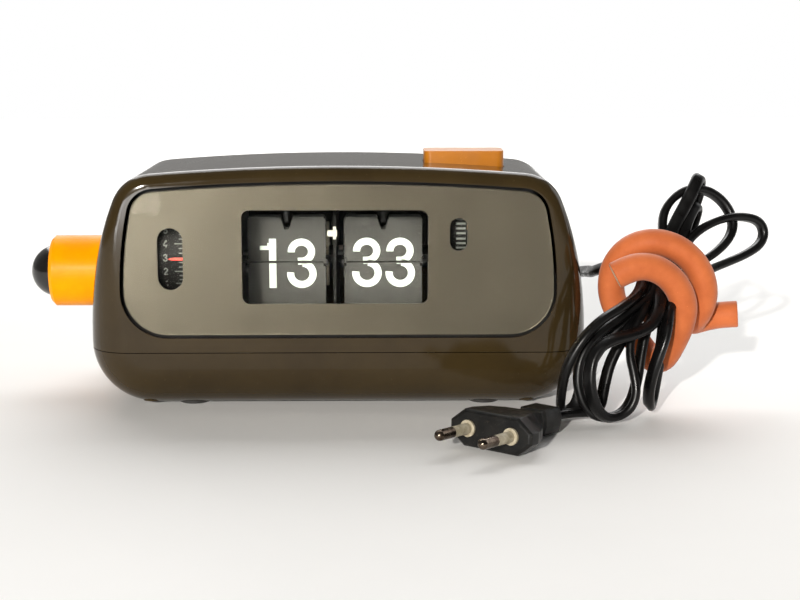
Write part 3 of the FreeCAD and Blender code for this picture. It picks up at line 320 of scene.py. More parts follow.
# fine-textured vinyl sheet, die cut: a dark grey with pale specks painted in as the glints that
# hard light strikes from its texture
FLAP = Finish(
    "vinyl_die_cut_textured_black", "#363735", "#2d2e2c", 5, (0.5, 0.62), 4, 0.5, 0.03,
    stretch=(1.0, 1.0, 1.6), flecks=0.42, fleck_mm=0.55, fleck_colour="#50514e", mirror=0.35,
)
# screen ink: chalky white with a cool cast, thin at its edges
PRINT = Finish(
    "screen_ink_cool_white", "#d9e6e0", "#cddcd5", 2, (0.55, 0.65), 3, 0.3, 0.004, mirror=0.3,
)
# white screen ink on the alarm drum and seconds wheel, greyed all over: painted shade for the
# shadow that the slot edges cast
SHADED_DRUM_PRINT = Finish("screen_ink_white_painted_shade", "#6c716d", "#555a56", 1.5, (0.6, 0.7), 2, 0.3, 0.004)
# red screen ink: strong colour with a satin skin
RED_PRINT = Finish("screen_ink_signal_red", "#d8402c", "#c8321f", 2, (0.4, 0.5), 3, 0.3, 0.004)
# glossy ABS in orange: strong colour, small moulding waves
ORANGE = Finish(
    "abs_gloss_moulded_orange", "#ff9f00", "#f79400", 14, (0.28, 0.38), 7, 1.6, 0.006,
    ior=1.5, flecks=0.05, fleck_mm=0.6, fleck_colour="#ffa60c", mirror=0.08,
)
# the same ABS on the stop bar, its colour darkened all over as painted shade, slightly rougher and
# with more pale specks
ORANGE_SHADED = Finish(
    "abs_gloss_moulded_orange_painted_shade", "#c67a1c", "#b87018", 9, (0.3, 0.42), 6, 1.4, 0.008,
    ior=1.5, flecks=0.16, fleck_mm=0.6, fleck_colour="#e0a04a", mirror=0.4,
)
# polished phenolic ball: black glass-like skin with handling scratches
BALL = Finish(
    "phenolic_polished_black", "#0d0c0b", "#181614", 6, (0.12, 0.26), 4, 0.8, 0.006,
    ior=1.6, flecks=0.1, fleck_mm=0.5, fleck_colour="#3a3835",
)
# moulded acetal: a waxy satin, pale grey on the catch and cream on the wheels
CATCH = Finish("acetal_moulded_pale_grey", "#c9c8c0", "#b9b8b0", 3, (0.35, 0.45), 3, 0.4, 0.004)
ACETAL = Finish("acetal_moulded_natural", "#e4dfcf", "#d8d2c0", 9, (0.4, 0.5), 5, 0.6, 0.006)
# moulded rubber: matt, with a dusty bloom
RUBBER = Finish(
    "rubber_moulded_black", "#191817", "#242220", 8, (0.7, 0.85), 5, 0.5, 0.02, sheen=0.2,
)
# extruded PVC sheath: greasy black, dull with dust where it has been handled
CORD = Finish(
    "pvc_extruded_black", "#060606", "#0d0c0c", 9, (0.26, 0.42), 5, 1.1, 0.02,
    flecks=0.08, fleck_mm=0.5, fleck_colour="#3a3733", mirror=0.3,
)
# moulded PVC plug: semi-gloss black with scuffs on its corners
PLUG = Finish(
    "pvc_moulded_black_scuffed", "#0a0a0a", "#171614", 5, (0.3, 0.5), 4, 0.5, 0.025,
    flecks=0.2, fleck_mm=0.45, fleck_colour="#5c5648", mirror=0.3,
)
# silicone rod, moulded and talc-dull: warm terracotta with a soft bloom
SILICONE = Finish(
    "silicone_moulded_terracotta", "#c46a3a", "#b45d31", 10, (0.55, 0.7), 6, 0.35, 0.01,
    ior=1.41, sheen=0.12, flecks=0.12, fleck_mm=0.4, fleck_colour="#d98450", mirror=0.25,
)
# the same silicone where it was sawn: pale, rough and open
SILICONE_CUT = Finish("silicone_sawn_end_pale", "#e3cdb4", "#d3b795", 2, (0.6, 0.75), 2, 0.3, 0.02)
# nickel-plated brass pins, brown with use: dull patches, bright on the tips
PIN = Finish(
    "brass_nickel_plated_worn", "#6f6357", "#3b2d24", 4, (0.16, 0.34), 3, 0.3, 0.003, metallic=1.0,
)
# moulded nylon: a soft cream that has yellowed in patches
SLEEVE = Finish("nylon_moulded_cream", "#b9b09a", "#8f846c", 2.5, (0.4, 0.55), 2, 0.4, 0.006)
# zinc-plated sheet steel: a grey metal gleam with fine rolling lines
STEEL = Finish(
    "steel_zinc_plated_rolled", "#b9bab8", "#a3a4a2", 9, (0.28, 0.42), 6, 0.5, 0.006,
    metallic=1.0, stretch=(1.0, 0.2, 1.0),
)
# cut brass: warm yellow metal with soft tool marks
BRASS = Finish(
    "brass_cut_polished", "#c9a45c", "#b89048", 6, (0.25, 0.38), 4, 0.4, 0.006, metallic=1.0,
)
# gun-blued spring steel: nearly black, with a dull glint on its edges
BLUED = Finish(
    "steel_blued_rolled", "#2a2b2c", "#1d1e1f", 6, (0.35, 0.5), 4, 0.5, 0.006,
    metallic=0.8, mirror=0.3,
)
# varnished cotton tape: brown, coarse and slightly glossy
COIL = Finish("cotton_tape_varnished_brown", "#5d3620", "#4b2a18", 4, (0.35, 0.5), 3, 0.8, 0.04)
# matt white card under the clock
FLOOR = Finish("card_matt_white", "#f4f3f1", "#f0efed", 300, (0.8, 0.9), 200, 3, 0.002)


@dataclass(frozen=True)
class Lens:
    """Injection-moulded clear acrylic: thin reflections, with flow waves near its gate.

    Attributes:
        name: the real material and how it was made.
        colour: colour of the light that goes through.
        shadow: colour of the shadow that it leaves.
        gloss: roughness.
        ior: index of refraction.
        reflection: strength of the reflection, 1 for a bare surface.
        wave_mm: length of the flow waves.
        wave_depth_mm: their depth.
    """

    name: str = "acrylic_moulded_clear"
    colour: str = "#fbfaf6"
    shadow: str = "#f7f6f2"
    gloss: float = 0.02
    ior: float = 1.49
    reflection: float = 0.05
    wave_mm: float = 26.0
    wave_depth_mm: float = 0.1

    def material(self) -> bpy.types.Material:
        """Make a glass-like material that lets lamps through, or find the one already made.

        Returns:
            The material with its nodes.
        """
        made, is_new = named_material(self.name)
        if not is_new:
            return made
        tree = made.node_tree
        place = add_node(tree, "ShaderNodeTexCoord").outputs["Object"]
        wave = add_node(
            tree,
            "ShaderNodeTexNoise",
            {"Vector": place, "Scale": per_mm(self.wave_mm), "Detail": 1.0},
        )
        bump = add_node(
            tree,
            "ShaderNodeBump",
            {
                "Height": wave.outputs["Fac"],
                "Distance": self.wave_depth_mm * MM,
                "Strength": 1.0,
            },
        )
        shader = add_node(
            tree,
            "ShaderNodeBsdfPrincipled",
            {
                "Base Color": linear(self.colour),
                "Roughness": self.gloss,
                "IOR": self.ior,
                "Specular Tint": (self.reflection, self.reflection, self.reflection, 1.0),
                "Transmission Weight": 1.0,
                "Normal": bump.outputs["Normal"],
            },
        )
        clear = add_node(tree, "ShaderNodeBsdfTransparent", {"Color": linear(self.shadow)})
        path = add_node(tree, "ShaderNodeLightPath")
        mix = add_node(
            tree,
            "ShaderNodeMixShader",
            {0: path.outputs["Is Shadow Ray"], 1: shader.outputs[0], 2: clear.outputs[0]},
        )
        add_node(tree, "ShaderNodeOutputMaterial", {"Surface": mix.outputs[0]})
        return made


LENS = Lens()


# ---------------------------------------------------------------------------------------
# Making pieces
# ---------------------------------------------------------------------------------------
def new_piece(
    name: str,
    mesh: bpy.types.Mesh,
    finish: Finish | Lens,
    body: str,
    replaces: Sequence[str] = (),
    smooth: bool = True,
) -> bpy.types.Object:
    """Add a mesh to the scene as a piece of the clock.

    Args:
        name: the piece's name.
        mesh: its mesh, in place, in metres.
        finish: what it is made of.
        body: the CAD body that it rides on.
        replaces: CAD nodes that it stands for.
        smooth: whether its faces are shaded smooth.

    Returns:
        The new object.
    """
    piece = bpy.data.objects.new(name, mesh)
    bpy.context.scene.collection.objects.link(piece)
    mesh.materials.clear()
    mesh.materials.append(finish.material())
    mesh.polygons.foreach_set("use_smooth", [smooth] * len(mesh.polygons))
    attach(piece, body)
    if replaces:
        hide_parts(*replaces)
    LOG.info("%s rides on %s, %d faces", name, body, len(mesh.polygons))
    return piece


def mesh_of(
    name: str, points: Iterable[Sequence[float]], faces: Iterable[Sequence[int]]
) -> bpy.types.Mesh:
    """Make a mesh.

    Args:
        name: the mesh's name.
        points: its points, in metres.
        faces: the point numbers of each face.

    Returns:
        The new mesh.
    """
    mesh = bpy.data.meshes.new(name)
    mesh.from_pydata([tuple(p) for p in points], [], [tuple(f) for f in faces])
    mesh.update()
    return mesh


def outward(mesh: bpy.types.Mesh, merge_mm: float = 0.005) -> bpy.types.Mesh:
    """Merge doubles and turn every face outwards.

    Args:
        mesh: a closed mesh.
        merge_mm: points nearer than this become one.

    Returns:
        The same mesh.
    """
    form = bmesh.new()
    form.from_mesh(mesh)
    bmesh.ops.remove_doubles(form, verts=form.verts, dist=merge_mm * MM)
    bmesh.ops.recalc_face_normals(form, faces=form.faces)
    form.to_mesh(mesh)
    form.free()
    return mesh


WELD_MM = 0.002
FLAT_DEGREES = 1.0
SHARP_DEGREES = 38.0
EASED_SEGMENTS = 3


def eased_copy(
    node: str, name: str, ease_mm: float, finish: Finish | Lens, body: str
) -> bpy.types.Object:
    """Copy a CAD node's form, ease its sharp edges and let it stand for that node.

    Args:
        node: the CAD node.
        name: the new piece's name.
        ease_mm: radius of the eased edges.
        finish: what it is made of.
        body: the CAD body that it rides on.

    Returns:
        The new object.
    """
    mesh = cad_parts[node].data.copy()
    mesh.name = name
    form = bmesh.new()
    form.from_mesh(mesh)
    bmesh.ops.remove_doubles(form, verts=form.verts, dist=WELD_MM * MM)
    bmesh.ops.dissolve_limit(
        form,
        angle_limit=math.radians(FLAT_DEGREES),
        verts=form.verts,
        edges=form.edges,
        delimit={"NORMAL"},
    )
    form.to_mesh(mesh)
    form.free()
    for layer in [a.name for a in mesh.attributes if a.name == "custom_normal"]:
        mesh.attributes.remove(mesh.attributes[layer])
    piece = new_piece(name, mesh, finish, body, (node,))
    bevel = piece.modifiers.new("eased_edges", "BEVEL")
    bevel.width = ease_mm * MM
    bevel.segments = EASED_SEGMENTS
    bevel.limit_method = "ANGLE"
    bevel.angle_limit = math.radians(SHARP_DEGREES)
    bevel.harden_normals = True
    return piece


# ---------------------------------------------------------------------------------------
# Camera and light
# ---------------------------------------------------------------------------------------
@dataclass(frozen=True)
class AreaLamp:
    """A square lamp, its place and aim in metres and its power in watts."""

    name: str
    at: Point
    aim: Point
    size: float
    power: float


@dataclass
class Studio:
    """A plain floor, a hard key lamp, a soft surround and the camera."""

    camera_at: Point = (15.0, -672.7, 160.3)
    camera_yaw: float = -0.83
    camera_pitch: float = 10.47
    lens_mm: float = 74.2
    key_azimuth: float = 17.0
    key_height: float = 17.0
    key_power: float = 3.3
    key_angle: float = 1.6
    key_colour: Point = (1.0, 0.965, 0.91)
    area_lamps: tuple[AreaLamp, ...] = (
        AreaLamp("rear_sky", (0.0, 2.3, 1.7), (0, 1.3, 0.0), 3.0, 95.0),
        AreaLamp("left_card", (-0.24, -0.6, 0.03), (-0.08, -0.04, 0.05), 0.2, 1.5),
        AreaLamp("right_card", (0.75, 0.25, 0.3), (0.09, 0, 0.05), 0.5, 1.2),
    )
    surround_front: float = 0.06
    surround_back: float = 0.32
    surround_span: tuple[float, float] = (-0.3, 0.5)
    floor_half: float = 1500.0

    def build(self) -> None:
        """Add the camera, lamps, surround and floor."""
        self.add_camera()
        self.add_lamps()
        self.add_surround()
        self.add_floor()
        bpy.context.scene.view_settings.view_transform = "Standard"

    def add_camera(self) -> None:
        """Put the camera a little above the clock, looking slightly down."""
        camera = bpy.data.cameras.new("camera")
        camera.lens = self.lens_mm
        camera.sensor_width = 36.0
        camera.clip_end = 100.0
        holder = bpy.data.objects.new("camera", camera)
        holder.location = metres(*self.camera_at)
        holder.rotation_euler = (
            math.radians(90 - self.camera_pitch),
            0.0,
            math.radians(self.camera_yaw),
        )
        bpy.context.scene.collection.objects.link(holder)
        bpy.context.scene.camera = holder

    def add_lamps(self) -> None:
        """Add a small strong key from the front left and the area lamps."""
        key = bpy.data.lights.new("key", "SUN")
        key.energy = self.key_power
        key.angle = math.radians(self.key_angle)
        key.color = self.key_colour
        holder = bpy.data.objects.new("key", key)
        round_z, down = math.radians(self.key_azimuth), math.radians(self.key_height)
        level = math.cos(down)
        along = Vector((math.sin(round_z) * level, math.cos(round_z) * level, -math.sin(down)))
        holder.rotation_euler = along.to_track_quat("-Z", "Y").to_euler()
        bpy.context.scene.collection.objects.link(holder)
        for area in self.area_lamps:
            lamp = bpy.data.lights.new(area.name, "AREA")
            lamp.shape = "SQUARE"
            lamp.size = area.size
            lamp.energy = area.power
            holder = bpy.data.objects.new(area.name, lamp)
            holder.location = area.at
            toward = Vector(area.aim) - Vector(area.at)
            holder.rotation_euler = toward.to_track_quat("-Z", "Y").to_euler()
            holder.visible_camera = False
            bpy.context.scene.collection.objects.link(holder)

    def add_surround(self) -> None:
        """Add a surround that lights from behind more than from in front, and looks white."""
        world = bpy.data.worlds.new("surround")
        bpy.context.scene.world = world
        world.use_nodes = True
        tree = world.node_tree
        tree.nodes.clear()
        ray = add_node(tree, "ShaderNodeTexCoord").outputs["Generated"]
        split = add_node(tree, "ShaderNodeSeparateXYZ", {0: ray})
        depth = add_node(
            tree,
            "ShaderNodeMapRange",
            {
                "Value": split.outputs["Y"],
                "From Min": self.surround_span[0],
                "From Max": self.surround_span[1],
                "To Min": self.surround_front,
                "To Max": self.surround_back,
            },
        )
        shade = add_node(
            tree,
            "ShaderNodeBackground",
            {"Color": (1.0, 0.99, 0.97, 1.0), "Strength": depth.outputs[0]},
        )
        white = (1.0, 1.0, 1.0, 1.0)
        seen = add_node(tree, "ShaderNodeBackground", {"Color": white, "Strength": 1.0})
        path = add_node(tree, "ShaderNodeLightPath")
        mix = add_node(
            tree,
            "ShaderNodeMixShader",
            {0: path.outputs["Is Camera Ray"], 1: shade.outputs[0], 2: seen.outputs[0]},
        )
        add_node(tree, "ShaderNodeOutputWorld", {"Surface": mix.outputs[0]})

    def add_floor(self) -> None:
        """Lay a wide pale floor under the clock."""
        half = self.floor_half * MM
        corners = [(-half, -half, 0), (half, -half, 0), (half, half, 0), (-half, half, 0)]
        mesh = mesh_of("floor", corners, [(0, 1, 2, 3)])
        floor = bpy.data.objects.new("floor", mesh)
        mesh.materials.append(FLOOR.material())
        bpy.context.scene.collection.objects.link(floor)


# ---------------------------------------------------------------------------------------
# Mains lead, tie and plug
# ---------------------------------------------------------------------------------------
def smooth_route(name: str, stations: Sequence[Point], steps: int = 6) -> list[Vector]:
    """Find the points of a NURBS curve whose control points are the stations.

    Args:
        name: a name for the short-lived curve.
        stations: control points in millimetres.
        steps: points for each station.

    Returns:
        Points in metres, from first station to last.
    """
    curve = bpy.data.curves.new(name + "_route", "CURVE")
    curve.dimensions = "3D"
    curve.resolution_u = steps
    spline = curve.splines.new("NURBS")
    spline.points.add(len(stations) - 1)
    for control, station in zip(spline.points, stations):
        control.co = (*metres(*station), 1.0)
    spline.order_u = 3
    spline.use_endpoint_u = True
    holder = bpy.data.objects.new(name + "_route", curve)
    bpy.context.scene.collection.objects.link(holder)
    line = bpy.data.meshes.new_from_object(holder)
    points = [v.co.copy() for v in line.vertices]
    bpy.data.objects.remove(holder)
    bpy.data.curves.remove(curve)
    bpy.data.meshes.remove(line)
    return points


def loft_faces(rings: int, count: int) -> list[tuple[int, ...]]:
    """Join rings of points into a closed form.

    Args:
        rings: how many rings there are.
        count: how many points each has.

    Returns:
        The faces between the rings, then one face on each end.
    """
    faces: list[tuple[int, ...]] = []
    for ring, k in itertools.product(range(rings - 1), range(count)):
        a, b = ring * count + k, ring * count + (k + 1) % count
        faces.append((a, b, b + count, a + count))
    faces.append(tuple(reversed(range(count))))
    faces.append(tuple(range((rings - 1) * count, rings * count)))
    return faces


def sweep(
    points: Sequence[Vector],
    section: Callable[[float], Outline],
    first_side: Vector,
) -> tuple[list[Vector], list[tuple[int, ...]]]:
    """Carry a closed section along a line without twisting it.

    Args:
        points: the line, in metres.
        section: gives the section's corners in metres for a share of the length.
        first_side: the section's first axis at the start.

    Returns:
        Points and faces, with both ends closed.
    """
    corners: list[Vector] = []
    side = first_side.normalized()
    count = 0
    for index, here in enumerate(points):
        before = points[max(index - 1, 0)]
        after = points[min(index + 1, len(points) - 1)]
        along = (after - before).normalized()
        side = (side - along * side.dot(along)).normalized()
        up = along.cross(side)
        outline = section(index / (len(points) - 1))
        count = len(outline)
        corners.extend(here + side * u + up * v for u, v in outline)
    return corners, loft_faces(len(points), count)


@dataclass
class MainsLead:
    """A flat twin lead: out of the back, round the side, tied in loose loops, to its plug.

    The stations of each loop run on from those of the one before.
    """

    wide: float = 5.2
    thick: float = 3.3
    groove: float = 0.12
    groove_half: float = 0.5
    sides: int = 20
    exit: Point = (58.0, 65.2, 14.6)
    lead_in: tuple[Point, ...] = (
        (58, 65.2, 14.6), (58, 75, 14.6), (62, 84.5, 16),
        (70.5, 91, 19.5), (82, 90, 25), (92, 82, 31),
        (99, 71, 34), (103, 58, 37.5), (105, 41, 41),
        (105.5, 24, 44), (105, 7, 46.5), (104.5, -8, 49.5),
        (107, -20, 53), (115, -29, 57), (120, -38, 54),
    )
    low_left_loop: tuple[Point, ...] = (
        (116, -52, 48), (108, -60, 44), (100, -63, 40), (94, -66, 35), (89, -67, 28), (86, -66, 20),
        (85, -64, 11), (85, -62, 4), (88, -59, 2.6), (92, -57, 5), (94, -55, 12), (97, -53, 21),
        (103, -52, 30), (110, -51, 38), (118, -48, 44),
    )
    narrow_top_loop: tuple[Point, ...] = (
        (128, -36, 58), (131, -29, 67), (134, -26, 72.3),
        (138, -23, 78.6), (142, -20, 85.6), (144, -17, 89.1),
        (145.5, -13, 86.6), (145, -11, 79.6), (142, -12, 74.1),
        (138, -16, 68.8), (133, -24, 62.6), (127, -38, 54),
    )
    drop_loop: tuple[Point, ...] = (
        (124, -50, 47), (123, -57, 42), (119, -62, 37),
        (111, -66, 34.5), (103, -69, 33.5), (97, -71, 30),
        (94.5, -73, 24), (94.5, -74, 16), (97, -73, 8),
        (101, -71, 3.6), (106, -69, 3.2), (111, -68, 6),
        (113.5, -67, 12), (112.5, -65, 19), (111, -62, 26),
        (112, -59, 33), (116, -55, 39), (121, -48, 46),
    )
    round_top_loop: tuple[Point, ...] = (
        (128, -36, 58), (129, -28, 65.3), (128.5, -24, 70.6), (130, -21, 76.3), (134, -19, 81.1),
        (140, -17, 84.1), (147, -16, 83.6), (153, -15, 80.1), (157, -16, 75), (158.5, -18, 69.2),
        (156, -21, 64), (150, -26, 59.5), (142, -32, 56), (132, -40, 52),
    )
    back_loop: tuple[Point, ...] = (
        (116, -51, 44), (108, -56, 39), (100, -60, 34.5),
        (94, -63, 29), (91, -65, 22), (91, -66.5, 14),
        (93.5, -67.5, 7), (98, -68, 3), (104, -67, 2.8),
        (109, -65, 4.6), (112.5, -62, 9), (114.5, -60, 16),
        (116, -57, 24), (118, -54, 33), (122, -49, 41), (127, -44, 48),
    )
    wide_top_loop: tuple[Point, ...] = (
        (134, -36, 58), (138, -28, 64.4), (142.5, -25, 67.9),
        (148, -22, 70.6), (155, -20, 72.8), (162, -19, 73.2),
        (168.5, -18, 71.4), (171, -18, 66.6), (169, -20, 61.8), (163, -23, 58.5), (155, -27, 56),
        (147, -32, 54), (137, -40, 51), (131, -48, 47),
    )
    right_hairpin: tuple[Point, ...] = (
        (127, -55, 43), (125.5, -60, 38), (124, -63, 32.5), (121.5, -64, 25.5), (119.5, -63, 18),
        (118.8, -61, 11), (119.5, -58, 5.5), (121, -53, 4),
        (122.5, -50, 9), (124, -49, 18), (125.5, -50, 28),
        (126, -50, 37), (128, -45, 46),
    )
    inner_top_loop: tuple[Point, ...] = (
        (133, -34, 58), (136, -27, 65.3), (139, -22, 72.3), (142.5, -17, 77.2), (145, -12.5, 76.7),
        (144, -12, 71), (141, -16, 65.3), (136, -24, 60), (128, -38, 52),
    )
    lead_out: tuple[Point, ...] = (
        (118, -50, 41), (110, -55, 32), (104, -58, 22),
        (101.5, -61, 12), (100, -64.2, 6), (96.5, -65.2, 4.4),
        (91.5, -66.2, 4.7), (87.2, -68.6, 4.9), (83, -71.4, 5.3), (79.05, -76.3, 5.6),
    )

    def stations(self) -> list[Point]:
        """List every control point of the lead, from the clock to the plug."""
        return [
            *self.lead_in, *self.low_left_loop, *self.narrow_top_loop, *self.drop_loop,
            *self.round_top_loop, *self.back_loop, *self.wide_top_loop, *self.right_hairpin,
            *self.inner_top_loop, *self.lead_out,
        ]

    def section(self, share: float) -> Outline:
        """Draw two cores side by side under one sheath, with a faint groove between them.

        Args:
            share: place along the lead; its section is the same all the way.

        Returns:
            The section's corners, in metres.
        """
        del share
        core = self.thick / 2
        spread = self.wide / 2 - core
        outline = []
        for step in range(self.sides):
            turn = 2 * math.pi * step / self.sides
            upright = step % (self.sides // 2) == self.sides // 4
            side = math.cos(turn)
            across = 0.0 if upright else math.copysign(spread, side) + core * side
            waist = self.groove if abs(across) < self.groove_half else 0.0
            outline.append((across * MM, (core - waist) * math.sin(turn) * MM))
        return outline

    def build(self, with_pieces: Sequence[bpy.types.Object]) -> bpy.types.Object:
        """Args:
            with_pieces: the pieces that are on the lead; not used.

        Returns:
            The lead.
        """
        line = smooth_route("mains_lead", self.stations())
        corners, faces = sweep(line, self.section, Vector((1, 0, 0)))
        mesh = outward(mesh_of("mains_lead", corners, faces), FINE_MERGE_MM)
        solids = ("power_cord", "power_cord_end", "cord_hank")
        lead = new_piece("mains_lead", mesh, CORD, CLOCK, solids)
        return lead


@dataclass
class SiliconeTie:
    """One thick silicone rod wound twice round the loops, its spare end standing out."""

    rod: float = 10.5
    sides: int = 32
    steps: int = 8
    eased_end: float = 0.93
    eased_long: float = 0.4
    stations: tuple[Point, ...] = (
        (105.6, -56, 55.4), (110.8, -56, 58.2), (117, -55.3, 59.2),
        (124, -54.3, 57), (130, -53.3, 51.3),
        (133.2, -52.3, 44), (132.8, -51, 36.5), (130.2, -48.5, 28.5),
        (126.6, -45, 19.8), (122, -40, 20),
        (116.5, -35.5, 28), (110.5, -32.5, 36.5), (107.3, -32, 45.5),
        (108.2, -33.5, 55.5), (113.5, -37, 63.3),
        (122.3, -40, 66.6), (132, -41.5, 64.2), (139.8, -42, 57),
        (143.2, -42, 47.8), (142, -40.5, 39.3),
        (139.5, -36, 34), (141.5, -31, 33), (147.5, -30.5, 34.6),
        (153, -31.5, 35.6), (158.2, -32.5, 36),
    )

    def section(self, share: float) -> Outline:
        """Draw a round section, slightly smaller at the rod's two ends.

        Args:
            share: place along the rod, from 0 to 1.

        Returns:
            The section's corners, in metres.
        """
        at_end = min(share, 1 - share) < 1e-6
        radius = self.rod / 2 * (self.eased_end if at_end else 1.0) * MM
        turns = [2 * math.pi * k / self.sides for k in range(self.sides)]
        return [(radius * math.cos(turn), radius * math.sin(turn)) for turn in turns]

    def build(self) -> bpy.types.Object:
        """Sweep the rod and give its sawn ends their paler face.

        Returns:
            The tie.
        """
        line = smooth_route("cord_tie", self.stations, self.steps)
        near = (line[1] - line[0]).normalized() * (self.eased_long * MM)
        far = (line[-1] - line[-2]).normalized() * (self.eased_long * MM)
        line = [line[0], line[0] + near, *line[1:-1], line[-1] - far, line[-1]]
        corners, faces = sweep(line, self.section, Vector((0, 1, 0)))
        mesh = outward(mesh_of("silicone_tie", corners, faces), FINE_MERGE_MM)
        tie = new_piece("silicone_tie", mesh, SILICONE, CLOCK, ("cord_tie",))
        mesh.materials.append(SILICONE_CUT.material())
        # only the two sawn ends have more than four corners
        for face in mesh.polygons:
            if len(face.vertices) > 4:
                face.material_index = 1
                face.use_smooth = False
        return tie


@dataclass
class MainsPlug:
    """A flat two-pole plug: a hexagonal face, a body tapering to a waist, a boxed neck."""

    face: Point = (55.0, -106.0, 7.7)
    heading: float = 231.0
    lean: float = 3.2
    blunt_share: float = 0.3
    eased: float = 0.9
    eased_segments: int = 4
    eased_degrees: float = 18.0
    sections: tuple[tuple[float, float, float, float], ...] = (
        # back from the face, half width, half thickness, length of the pointed ends
        (0.0, 16.6, 5.9, 5.6),
        (0.9, 17.6, 6.85, 6.0),
        (5.0, 17.6, 6.85, 6.0),
        (12.0, 14.6, 6.6, 5.2),
        (19.0, 9.6, 5.6, 3.0),
        (24.0, 6.6, 4.5, 1.4),
        (26.0, 5.7, 4.1, 0.9),
        (27.0, 5.9, 4.3, 0.9),
        (27.4, 6.25, 4.7, 0.9),
        (37.4, 6.25, 4.7, 0.9),
        (38.0, 5.9, 4.35, 0.9),
    )

    def place(self) -> Matrix:
        """Find where the plug lies, its pins along its own +X.

        Returns:
            The turn, tilt and place of the plug's face.
        """
        turn = Matrix.Rotation(math.radians(self.heading), 4, "Z")
        tilt = Matrix.Rotation(math.radians(-self.lean), 4, "Y")
        return Matrix.Translation(metres(*self.face)) @ turn @ tilt

    def build(self) -> bpy.types.Object:
        """Loft the body from its sections, ease its corners and put it in place.

        Returns:
            The plug's shell.
        """
        corners: list[Point] = []
        for back, wide, thick, point in self.sections:
            blunt = thick * self.blunt_share
            flank = wide - point
            for y, z in (
                (wide, blunt), (flank, thick), (-flank, thick), (-wide, blunt),
                (-wide, -blunt), (-flank, -thick), (flank, -thick), (wide, -blunt),
            ):
                corners.append((-back * MM, y * MM, z * MM))
        rings = len(self.sections)
        faces = loft_faces(rings, len(corners) // rings)
        mesh = outward(mesh_of("plug_shell", corners, faces))
        mesh.transform(self.place())
        plug = new_piece("plug_shell", mesh, PLUG, CLOCK, ("plug_body",))
        bevel = plug.modifiers.new("eased_corners", "BEVEL")
        bevel.width = self.eased * MM
        bevel.segments = self.eased_segments
        bevel.limit_method = "ANGLE"
        bevel.angle_limit = math.radians(self.eased_degrees)
        return plug


# ---------------------------------------------------------------------------------------
# Numerals
# ---------------------------------------------------------------------------------------
@dataclass(frozen=True)
class Stroke:
    """Part of an ellipse, or a straight line where the radii are zero, in a 12 by 20 box.

    Attributes:
        x, y: the ellipse's centre, or the line's start.
        rx, ry: its radii.
        start, end: the angles between which it is drawn, in degrees.
        x_to, y_to: the line's end.
        thin: its weight as a share of the figure's.
    """

    x: float
    y: float
    rx: float = 0.0
    ry: float = 0.0
    start: float = 0.0
    end: float = 0.0
    x_to: float = 0.0
    y_to: float = 0.0
    thin: float = 1.0

    DEGREES_A_PIECE = 9

    def points(self) -> Outline:
        """Find the points of its middle line.

        Returns:
            Points in the figure's own box.
        """
        if self.rx == 0:
            return [(self.x, self.y), (self.x_to, self.y_to)]
        steps = max(6, int(abs(self.end - self.start) / self.DEGREES_A_PIECE))
        found = []
        for k in range(steps + 1):
            turn = math.radians(self.start + (self.end - self.start) * k / steps)
            found.append((self.x + self.rx * math.cos(turn), self.y + self.ry * math.sin(turn)))
        return found


def bar(x: float, y: float, x_to: float, y_to: float) -> Stroke:
    """Make a straight stroke."""
    return Stroke(x, y, x_to=x_to, y_to=y_to)


FIGURES: dict[str, tuple[Stroke, ...]] = {
    "0": (Stroke(6, 10, 4.4, 8.55, 0, 360),),
    "1": (
        bar(7.6, 0, 7.6, 20), Stroke(2.5, 16.3, x_to=6.2, y_to=16.3, thin=0.6),
        Stroke(5.85, 17.0, x_to=5.85, y_to=18.3, thin=0.25),
    ),
    "2": (
        Stroke(6, 14.4, 4.3, 4.15, 178, -38), bar(9.2, 12.0, 1.9, 2.0),
        bar(0.5, 1.45, 11.2, 1.45),
    ),
    "3": (
        Stroke(5.75, 14.75, 4.05, 3.85, 184, -84), bar(4.3, 10.85, 6.4, 10.95),
        Stroke(5.85, 5.75, 4.5, 4.35, 84, -188),
    ),
    "4": (bar(8.2, 0, 8.2, 20), bar(0.4, 5.7, 11.7, 5.7), bar(7.6, 19.2, 1.3, 6.2)),
    "5": (
        bar(10.4, 18.5, 2.4, 18.5), bar(2.9, 19.0, 2.1, 9.6),
        Stroke(5.8, 6.0, 4.5, 4.6, 142, -172),
    ),
    "6": (Stroke(6, 6.0, 4.4, 4.6, 0, 360), Stroke(7.4, 9.0, 5.8, 9.5, 188, 78)),
    "7": (bar(0.6, 18.5, 11.2, 18.5), bar(10.0, 17.6, 4.3, 0)),
    "8": (Stroke(6, 14.8, 3.8, 3.75, 0, 360), Stroke(6, 5.8, 4.4, 4.35, 0, 360)),
    "9": (Stroke(6, 14.0, 4.4, 4.6, 0, 360), Stroke(4.6, 11.0, 5.8, 9.5, 8, -102)),
}
FIGURE_BOX_HIGH = 20


class Half(Enum):
    """The half of a number that a card carries."""

    UPPER = 1.0
    LOWER = -1.0


